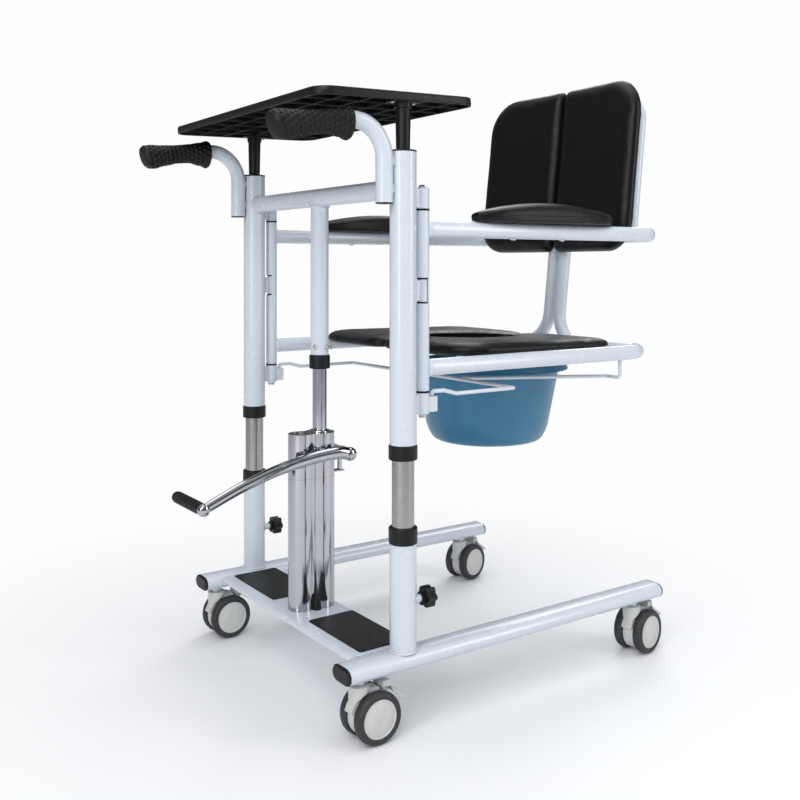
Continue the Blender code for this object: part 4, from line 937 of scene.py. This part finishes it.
def build_arm_pads():
    shape = Shape()
    rings = []
    steps, across = 40, 20
    for i in range(steps + 1):
        share = 0.5 - 0.5 * math.cos(math.pi * i / steps)
        x = ARM_PAD_FRONT + 0.001 + share * (ARM_PAD_REAR - ARM_PAD_FRONT - 0.002)
        half, wall, crown = arm_pad_section(share)
        ring = [(x, -half, 0.0004), (x, half, 0.0004), (x, half * 1.02, 0.5 * wall)]
        for j in range(across + 1):
            angle = math.pi * j / across
            rise = wall + (crown - wall) * math.sin(angle) ** 0.8
            ring.append((x, half * math.cos(angle), rise))
        ring.append((x, -half * 1.02, 0.5 * wall))
        rings.append([(px, py - COLUMN_Y, ARM_PAD_BOTTOM + pz) for px, py, pz in ring])
    shape.rings(rings)
    base = remeshed(shape, ARM_PAD_VOXEL, 1)
    inflate(base, ARM_PAD_SWELL)
    for vertex in base.vertices:
        vertex.co.z = max(vertex.co.z, ARM_PAD_BOTTOM)
    seam = []
    for direction in (1, -1):
        for i in range(steps + 1):
            share = 0.5 - 0.5 * math.cos(math.pi * i / steps)
            share = share if direction > 0 else 1 - share
            x = ARM_PAD_FRONT + share * (ARM_PAD_REAR - ARM_PAD_FRONT)
            half, wall, _ = arm_pad_section(share)
            seam.append((x, -COLUMN_Y + direction * half * 1.05, ARM_PAD_BOTTOM + 0.85 * wall))
    seam = [
        point
        for i, point in enumerate(seam)
        if (Vector(point) - Vector(seam[i - 1])).length > 0.001
    ]
    for side in SIDES:
        name = f"armrest_pad_{side}"
        pad = add_soft_piece(f"{name}_cover", base.copy(), side, name)
        add_piping(f"{name}_seam", pad, seam, side, 0.0009)


# Carriage


def build_welds():
    """Beads where the white tubes are welded together."""
    carriage = Shape()
    for sign in SIDES.values():
        y = sign * COLUMN_Y
        carriage.bead((0, y - sign * 0.0245, 1.000), (0, 1, 0), 0.0190, 0.0024, 26)
        for low, high in HINGE_LUGS:
            for side in (-1, 1):
                offset = Vector((0.0245, y + side * 0.0052, 0))
                ends = [offset + Vector((0, 0, low + 0.002)), offset + Vector((0, 0, high - 0.002))]
                carriage.tube(lumpy_line(*ends), 0.0019, 8)
    carriage.bead((0, 0, 0.9815), (0, 0, 1), 0.0192, 0.0024, 26)
    add_piece("carriage_welds", carriage, "white_paint", "carriage")
    base = Shape()
    for sign in SIDES.values():
        y = sign * COLUMN_Y
        base.bead((0, y, 0.1458), (0, 0, 1), 0.0252, 0.0022, 34)
        inner_y = y - sign * 0.0302
        start, end = Vector((-0.082, inner_y, 0.1425)), Vector((0.034, inner_y, 0.1425))
        base.tube(lumpy_line(start, end), 0.0018, 8)
        base.dome_bolt((0.036, y - 0.012, 0.1445), (0, 0, 1), 0.0035, 0.003)
        base.dome_bolt((0.036, y + 0.012, 0.1445), (0, 0, 1), 0.0035, 0.003)
    add_piece("base_welds", base, "white_paint", "base")


def lumpy_line(start, end, pitch=0.0015):
    """Points along a weld line, with a slight wobble."""
    steps = max(4, int((end - start).length / pitch))
    points = []
    for i in range(steps + 1):
        wobble = 0.0003 * math.sin(2.2 * i)
        points.append(start + (end - start) * (i / steps) + Vector((wobble, wobble, 0)))
    return points


def handle_height(x):
    return HANDLE_CORNER + (x - HANDLE_X) * HANDLE_SLOPE


def build_handles():
    for side, sign in SIDES.items():
        y = sign * COLUMN_Y
        shape = Shape()
        corners = [(HANDLE_X, y, HANDLE_BOTTOM), (HANDLE_X, y, HANDLE_CORNER)]
        corners += [(HANDLE_END_X, y, handle_height(HANDLE_END_X))]
        shape.tube(rounded_path(corners, 0.065, 18), FRAME_TUBE)
        for height in (HANDLE_BOTTOM + 0.020, HANDLE_BOTTOM + 0.070):
            shape.box((HANDLE_X + 0.010, y - 0.007, height), (-0.0254, y + 0.007, height + 0.012))
            for across in (-0.0075, 0.0075):
                shape.tube(
                    lumpy_line(Vector((-0.0262, y + across, height - 0.002)),
                               Vector((-0.0262, y + across, height + 0.014))), 0.0020, 8)
        name = f"handle_tube_{side}"
        add_piece(name, shape, "white_paint", "carriage", [f"push_handle_{side}"])
        plug = Shape().turned([(0.0, -0.0022), (0.0150, -0.0022), (0.0165, -0.0012), (0.0165, -0.0002),
                               (0.0, -0.0002)], (HANDLE_X, y, HANDLE_BOTTOM))
        add_piece(f"handle_plug_{side}", plug, "black_plastic", "carriage")
        add_piece(f"grip_{side}", grip_shape(y), "black_rubber", "carriage", [f"push_grip_{side}"], 60)


GRIP_STAGES = [
    (0.00, 0.0296, 0.0256, -0.006),
    (0.03, 0.0315, 0.0270, -0.006),
    (0.13, 0.0268, 0.0236, -0.004),
    (0.32, 0.0216, 0.0206, -0.001),
    (0.50, 0.0210, 0.0200, -0.001),
    (0.70, 0.0235, 0.0215, -0.002),
    (0.88, 0.0270, 0.0240, -0.003),
    (0.965, 0.0262, 0.0232, -0.003),
    (1.00, 0.0225, 0.0200, -0.003),
]
DIMPLES_AROUND = 14
DIMPLE_ROWS = 14
DIMPLE_RADIUS = 0.0042
DIMPLE_DEPTH = 0.0026
DIMPLED = (0.055, 0.915)
GRIP_MEAN_RADIUS = 0.0235


def dimple_depth(share, turn):
    """How far the grip's surface is sunk at a share of its length and a share of a turn."""
    start, end = DIMPLED
    position = (share - start) / (end - start) * (DIMPLE_ROWS - 1)
    deepest = 0.0
    for row in (math.floor(position), math.floor(position) + 1):
        if not 0 <= row < DIMPLE_ROWS:
            continue
        around = turn * DIMPLES_AROUND - 0.5 * (row % 2)
        off_turn = (around - round(around)) / DIMPLES_AROUND * 2 * math.pi * GRIP_MEAN_RADIUS
        off_length = (position - row) / (DIMPLE_ROWS - 1) * (end - start) * GRIP_LENGTH
        near = 1.0 - math.hypot(off_turn, off_length) / DIMPLE_RADIUS
        if near > 0:
            near = min(1.0, near * 2.4)
            deepest = max(deepest, near * near * (3 - 2 * near))
    return DIMPLE_DEPTH * deepest


def grip_shape(y):
    """A waisted grip with a honeycomb of dimples and a slanted, rounded end."""
    around, along = 160, 170
    rings = []
    for i in range(along + 1):
        share = i / along
        half_height, half_width, offset = blend_values(GRIP_STAGES, share)
        middle_x = GRIP_REAR_X - share * GRIP_LENGTH
        ring = []
        for j in range(around):
            angle = 2 * math.pi * j / around
            sunk = dimple_depth(share, j / around)
            rise = offset + (half_height - sunk) * math.sin(angle)
            x = middle_x - 0.30 * share * rise
            aside = (half_width - sunk) * math.cos(angle)
            ring.append(Vector((x, y + aside, handle_height(x) + rise)))
        rings.append(ring)
    for shrink, ahead in ((0.90, 0.0018), (0.70, 0.0026), (0.35, 0.0030)):
        middle = sum(rings[along], Vector()) / around
        inner = [middle + (point - middle) * shrink + Vector((-ahead, 0, 0)) for point in rings[along]]
        rings.append(inner)
    return Shape().rings(rings)


def build_rack():
    base = 0.6107
    across = WIRE_HEIGHT + 0.008
    start_x, cross_x = 0.0655, 0.274
    corners = [(start_x, -COLUMN_Y, base), (start_x, -COLUMN_Y, across), (0.095, -COLUMN_Y, across)]
    corners += [(0.125, -COLUMN_Y, WIRE_HEIGHT), (cross_x, -COLUMN_Y, WIRE_HEIGHT)]
    corners += [(x, -y, z) for x, y, z in reversed(corners)]
    shape = Shape().tube(rounded_path(corners, 0.006, 6), WIRE_RADIUS, 16)
    add_piece("rack_wire", shape, "white_paint", "carriage", ["wire_rack"])


def build_hinge_details():
    """Black rings at the ends of the hinge tubes, and bolts on the lift tube."""
    rings = Shape()
    for sign in SIDES.values():
        centre = (HINGE_X, sign * COLUMN_Y, 0)
        for low, high, radius in ((0.6186, 0.6217, 0.0133), (0.9603, 0.9634, 0.0133),
                                  (0.7862, 0.7888, 0.01075), (0.8312, 0.8338, 0.01075)):
            rings.turned(band(0.0052, radius, low, high), centre, segments=32, hollow=True)
    add_piece("hinge_rings", rings, "black_plastic", "carriage")
    bolts = Shape()
    for direction in ((-0.85, -0.5, 0), (0.35, -0.92, 0), (-0.3, 0.95, 0)):
        direction = Vector(direction).normalized()
        bolts.dome_bolt(direction * 0.0185 + Vector((0, 0, 0.6855)), direction, 0.0042, 0.0035)
    add_piece("lift_tube_bolts", bolts, "zinc", "carriage")
    nuts = Shape()
    for sign in SIDES.values():
        for height in (HANDLE_BOTTOM + 0.047, HANDLE_BOTTOM + 0.097):
            centre = (-0.0275, sign * COLUMN_Y, height)
            nuts.turned(band(0.0, 0.0042, 0.0, 0.004), centre, (-1, 0, 0), 6)
    add_piece("handle_nuts", nuts, "black_plastic", "carriage")


# Pump and lever


def build_lever():
    """The arched arm with its cap, its hub and shaft, and the eye at the handle's end."""
    points = [(0.045, 0.462), (0.017, 0.467), (-0.035, 0.464), (-0.086, 0.456)]
    points += [(-0.136, 0.445), (-0.200, 0.425), (-0.246, 0.407), (-0.283, 0.391)]
    path = smooth_curve([(x, LEVER_Y, z) for x, z in points], 8)
    radii = [0.0135 - 0.0035 * i / (len(path) - 1) for i in range(len(path))]
    shape = Shape().tube(path, radii, 28, side=(0, 1, 0), flatness=0.72)
    crown = []
    for i in range(9):
        angle = math.pi * (i / 8 - 0.5)
        crown.append((0.0145 * math.cos(angle) ** 0.6, 0.0115 * math.sin(angle)))
    pivot = LEVER_PIVOT
    shape.turned(crown, pivot + Vector((0, LEVER_Y, 0)), (0, 1, 0), 40)
    shape.turned([(0.0, LEVER_Y), (0.0085, LEVER_Y), (0.0085, -0.0255), (0.005, -0.0250),
                  (0.005, 0.0250), (0.0, 0.0250)], pivot, (0, 1, 0), 28)
    hub = 0.0157
    shape.turned([(0.0, -hub), (0.010, -hub), (0.011, -hub + 0.001), (0.011, hub - 0.001),
                  (0.010, hub), (0.0, hub)], pivot, (0, 1, 0), 32)
    tip = Vector((points[-1][0], 0, points[-1][1]))
    eye = []
    for i in range(9):
        angle = math.pi * (i / 8 - 0.5)
        eye.append((0.0125 * math.cos(angle) ** 0.45, 0.0100 * math.sin(angle)))
    shape.turned(eye, tip + Vector((0, LEVER_Y, 0)), (0, 1, 0), 40)
    shape.turned([(0.0, LEVER_Y), (0.0095, LEVER_Y), (0.0095, LEVER_Y + 0.0102),
                  (0.008, LEVER_Y + 0.0102), (0.008, 0.049), (0.0, 0.049)], tip, (0, 1, 0), 28)
    add_piece("lever_arm", shape, "chrome", "lever", ["pump_lever"])
    add_piece("lever_sleeve", ribbed_sleeve(tip), "black_rubber", "lever", ["lever_grip"], 50)


def ribbed_sleeve(tip):
    """A rubber sleeve with fine ribs along it and a domed end."""
    ribs, points_each = 26, 6
    stages = [(-0.0387, 0.0105, 0.0), (-0.0375, 0.0115, 0.0), (-0.030, 0.0115, 0.0)]
    stages += [(-0.0285, 0.0115, 1.0), (0.0760, 0.0115, 1.0), (0.0775, 0.0115, 0.0)]
    for i in range(9):
        angle = math.pi / 2 * i / 8
        stages.append((0.0790 + 0.0118 * math.sin(angle), 0.0117 * math.cos(angle), 0.0))
    rings = []
    for along, radius, ribbed in stages:
        ring = []
        for j in range(ribs * points_each):
            angle = 2 * math.pi * j / (ribs * points_each)
            wave = 0.0005 * ribbed * math.cos(ribs * angle)
            reach = max(0.0002, radius + wave)
            ring.append(tip + Vector((reach * math.cos(angle), along, reach * math.sin(angle))))
        rings.append(ring)
    return Shape().rings(rings)


def build_pump_details():
    """The plunger and its bracket behind the pump, the head's screws and the foot's plug."""
    chrome = Shape()
    plunger = (LEVER_PIVOT.x + 0.004, 0.0, 0.4185)
    chrome.turned(band(0.0, 0.0050, 0.0, 0.030), plunger, (0, 0, 1), 24)
    chrome.box((0.026, -0.010, 0.4190), (0.056, 0.010, 0.4215))
    chrome.turned(band(0.0302, 0.0318, 0.0, 0.0012), (0, 0, 0.4148), hollow=True)
    chrome.turned([(0.0154, 0.0), (0.0215, 0.0), (0.0215, 0.0025), (0.0205, 0.0038), (0.0154, 0.0038)],
                  (0, 0, 0.5070), hollow=True)
    chrome.dome_bolt((-0.045, 0.0, 0.5068), (0, 0, 1), 0.0055, 0.003)
    chrome.dome_bolt((-0.052, 0.013, 0.5068), (0, 0, 1), 0.003, 0.002)
    add_piece("pump_details", chrome, "chrome", "base")
    plug = Shape()
    plug.turned([(0.0, 0.0), (0.0100, 0.0), (0.0085, 0.014), (0.004, 0.030), (0.0, 0.032)],
                (-0.021, -0.0245, 0.1434), segments=24)
    add_piece("pump_foot_plug", plug, "black_plastic", "base")


# Tray


def tray_tilt():
    middle = Matrix.Translation(Vector((0, 0, TRAY_TOP)))
    return middle @ Matrix.Rotation(-TRAY_TILT, 4, "Y") @ middle.inverted()


def build_tray():
    """A moulded tray: a rounded rim round a sunk floor, with ribs and sockets underneath."""
    shape = Shape()
    low, high = (TRAY_FRONT, -TRAY_HALF_WIDTH), (TRAY_REAR, TRAY_HALF_WIDTH)
    outline = cleaned(rounded_rectangle(low, high, [0.035] * 4, 12))
    floor_top = TRAY_TOP - 0.003
    floor_bottom = floor_top - 0.003
    layers = [(floor_bottom, 0.0045), (TRAY_BOTTOM + 0.0008, 0.0040), (TRAY_BOTTOM, 0.0030)]
    layers += [(TRAY_BOTTOM, 0.0008), (TRAY_BOTTOM + 0.0012, 0.0), (TRAY_TOP - 0.0030, 0.0)]
    layers += [(TRAY_TOP - 0.0009, 0.0009), (TRAY_TOP, 0.0030), (TRAY_TOP, 0.0070)]
    layers += [(TRAY_TOP - 0.0006, 0.0085), (floor_top, 0.0110)]
    rings = [[(u, v, z) for u, v in outline_inset(outline, inset)] for z, inset in layers]
    shape.rings(rings)
    rib_bottom = TRAY_BOTTOM + 0.0012
    for i in range(9):
        y = -0.272 + 0.068 * i
        shape.box(
            (TRAY_FRONT + 0.003, y - TRAY_RIB, rib_bottom),
            (TRAY_REAR - 0.003, y + TRAY_RIB, floor_bottom + 0.001),
        )
    for i in range(5):
        x = TRAY_FRONT + 0.060 + 0.059 * i
        shape.box(
            (x - TRAY_RIB, -TRAY_HALF_WIDTH + 0.003, rib_bottom),
            (x + TRAY_RIB, TRAY_HALF_WIDTH - 0.003, floor_bottom + 0.001),
        )
    shape.moved(tray_tilt())
    for sign in SIDES.values():
        centre = (0, sign * COLUMN_Y, 0)
        profile = [(0.0129, 1.1480), (0.0155, 1.1480), (0.0165, 1.1490), (0.0165, 1.1640)]
        profile += [(0.0129, 1.1640)]
        shape.turned(profile, centre, hollow=True)
        shape.box((-0.028, sign * COLUMN_Y - 0.016, 1.1585), (0.028, sign * COLUMN_Y + 0.016, 1.1612))
    add_piece("tray_moulding", shape, "black_plastic", "tray", ["tray"])
    bolts = Shape()
    for sign in SIDES.values():
        for x in (-0.023, 0.023):
            bolts.dome_bolt((x, sign * COLUMN_Y, 1.1586), (0, 0, -1), 0.0035, 0.003)
    add_piece("tray_bolts", bolts, "zinc", "tray")


# Bucket


def build_bucket():
    shape = Shape()
    bottom, rim, top = BUCKET_BOTTOM, BUCKET_RIM, BUCKET_TOP
    outer = [(0.0, bottom + 0.002), (0.086, bottom + 0.002), (0.090, bottom), (0.100, bottom)]
    curve = [(0.100, bottom), (0.124, bottom + 0.006), (0.136, bottom + 0.021), (0.1435, bottom + 0.040)]
    points = smooth_curve([(r, 0.0, z) for r, z in curve], 6)
    outer += [(point.x, point.z) for point in points[1:]]
    for i in range(1, 9):
        share = i / 8
        outer.append((0.1435 + 0.0255 * share, bottom + 0.040 + (rim - bottom - 0.040) * share))
    outer += [(0.186, rim), (0.1900, rim + 0.0005), (0.1900, rim + 0.0028), (0.1885, rim + 0.004)]
    outer += [(0.1868, top - 0.003), (0.1858, top), (0.1828, top)]
    inner = [(0.1818, top - 0.001), (0.1800, rim + 0.0035), (0.1665, rim + 0.003)]
    inner += [(0.1405, bottom + 0.041), (0.1332, bottom + 0.023), (0.122, bottom + 0.009)]
    inner += [(0.0995, bottom + 0.003), (0.0, bottom + 0.0045)]
    shape.turned(outer + inner, (BUCKET_X, 0, 0), segments=112)
    add_piece("bucket_bowl", shape, "blue_plastic", "bucket", ["commode_bucket"])


# Casters


def caster_matrix(name):
    """Places a caster that stands straight at the origin under its rail."""
    end, side = name.split("_")
    place = Vector((STEM_X[end], SIDES[side] * COLUMN_Y, 0.0))
    return Matrix.Translation(place) @ Matrix.Rotation(SWIVEL.get(name, 0.0), 4, "Z")


def tyre_profile():
    inner, outer, radius = WHEEL_INNER_Y, WHEEL_INNER_Y + WHEEL_WIDTH, WHEEL_RADIUS
    profile = [(HUB_RADIUS - 0.001, inner + 0.001), (radius - 0.0060, inner)]
    profile += [(radius - 0.0026, inner + 0.0014), (radius - 0.0008, inner + 0.0050)]
    profile += [(radius, (inner + outer) / 2), (radius - 0.0006, outer - 0.0060)]
    profile += [(radius - 0.0026, outer - 0.0020), (radius - 0.0058, outer)]
    profile += [(HUB_RADIUS + 0.0022, outer - 0.0003), (HUB_RADIUS - 0.001, outer - 0.0022)]
    return profile


def hub_profile():
    inner, face = WHEEL_INNER_Y + 0.0004, WHEEL_INNER_Y + WHEEL_WIDTH - 0.0012
    profile = [(0.0055, inner), (HUB_RADIUS - 0.0006, inner), (HUB_RADIUS, inner + 0.0010)]
    profile += [(HUB_RADIUS, face - 0.0010), (HUB_RADIUS - 0.0008, face)]
    profile += [(HUB_RADIUS - 0.0030, face + 0.0002), (HUB_RADIUS - 0.0040, face - 0.0008)]
    profile += [(HUB_RADIUS - 0.0052, face - 0.0008), (HUB_RADIUS - 0.0062, face)]
    profile += [(0.0120, face + 0.0004), (0.0055, face + 0.0004)]
    return profile


def build_casters():
    for end in STEM_X:
        for side in SIDES:
            name = f"{end}_{side}"
            matrix = caster_matrix(name)
            axle = (CASTER_TRAIL, 0, WHEEL_RADIUS)
            tyres, hubs = Shape(), Shape()
            for direction in ((0, 1, 0), (0, -1, 0)):
                tyres.turned(tyre_profile(), axle, direction, 72, hollow=True)
                hubs.turned(hub_profile(), axle, direction, 64, hollow=True)
                face = WHEEL_INNER_Y + WHEEL_WIDTH - 0.0010
                hubs.turned(band(0.0, 0.0057, face - 0.002, face), axle, direction, 32)
            hubs.turned(band(0.0, 0.0048, -0.030, 0.030), axle, (0, 1, 0), 20)
            add_piece(f"tyres_{name}", tyres.moved(matrix), "caster_tyre", f"wheels_{name}",
                      [f"caster_wheels_{name}"])
            add_piece(f"hubs_{name}", hubs.moved(matrix), "grey_plastic", f"wheels_{name}")
            collar = Shape()
            collar.turned([(0.0, 0.1052), (0.0125, 0.1052), (0.0125, 0.1075), (0.0112, 0.1085),
                           (0.0112, 0.1145), (0.0, 0.1145)], segments=36)
            add_piece(f"stem_collar_{name}", collar.moved(matrix), "zinc", f"caster_{name}")


MATERIALS = make_materials()
make_stage()
finish_cad_nodes()
build_seat_frames()
build_cushions()
build_seat_pads()
build_arm_pads()
build_welds()
build_handles()
build_rack()
build_hinge_details()
build_lever()
build_pump_details()
build_tray()
build_bucket()
build_casters()
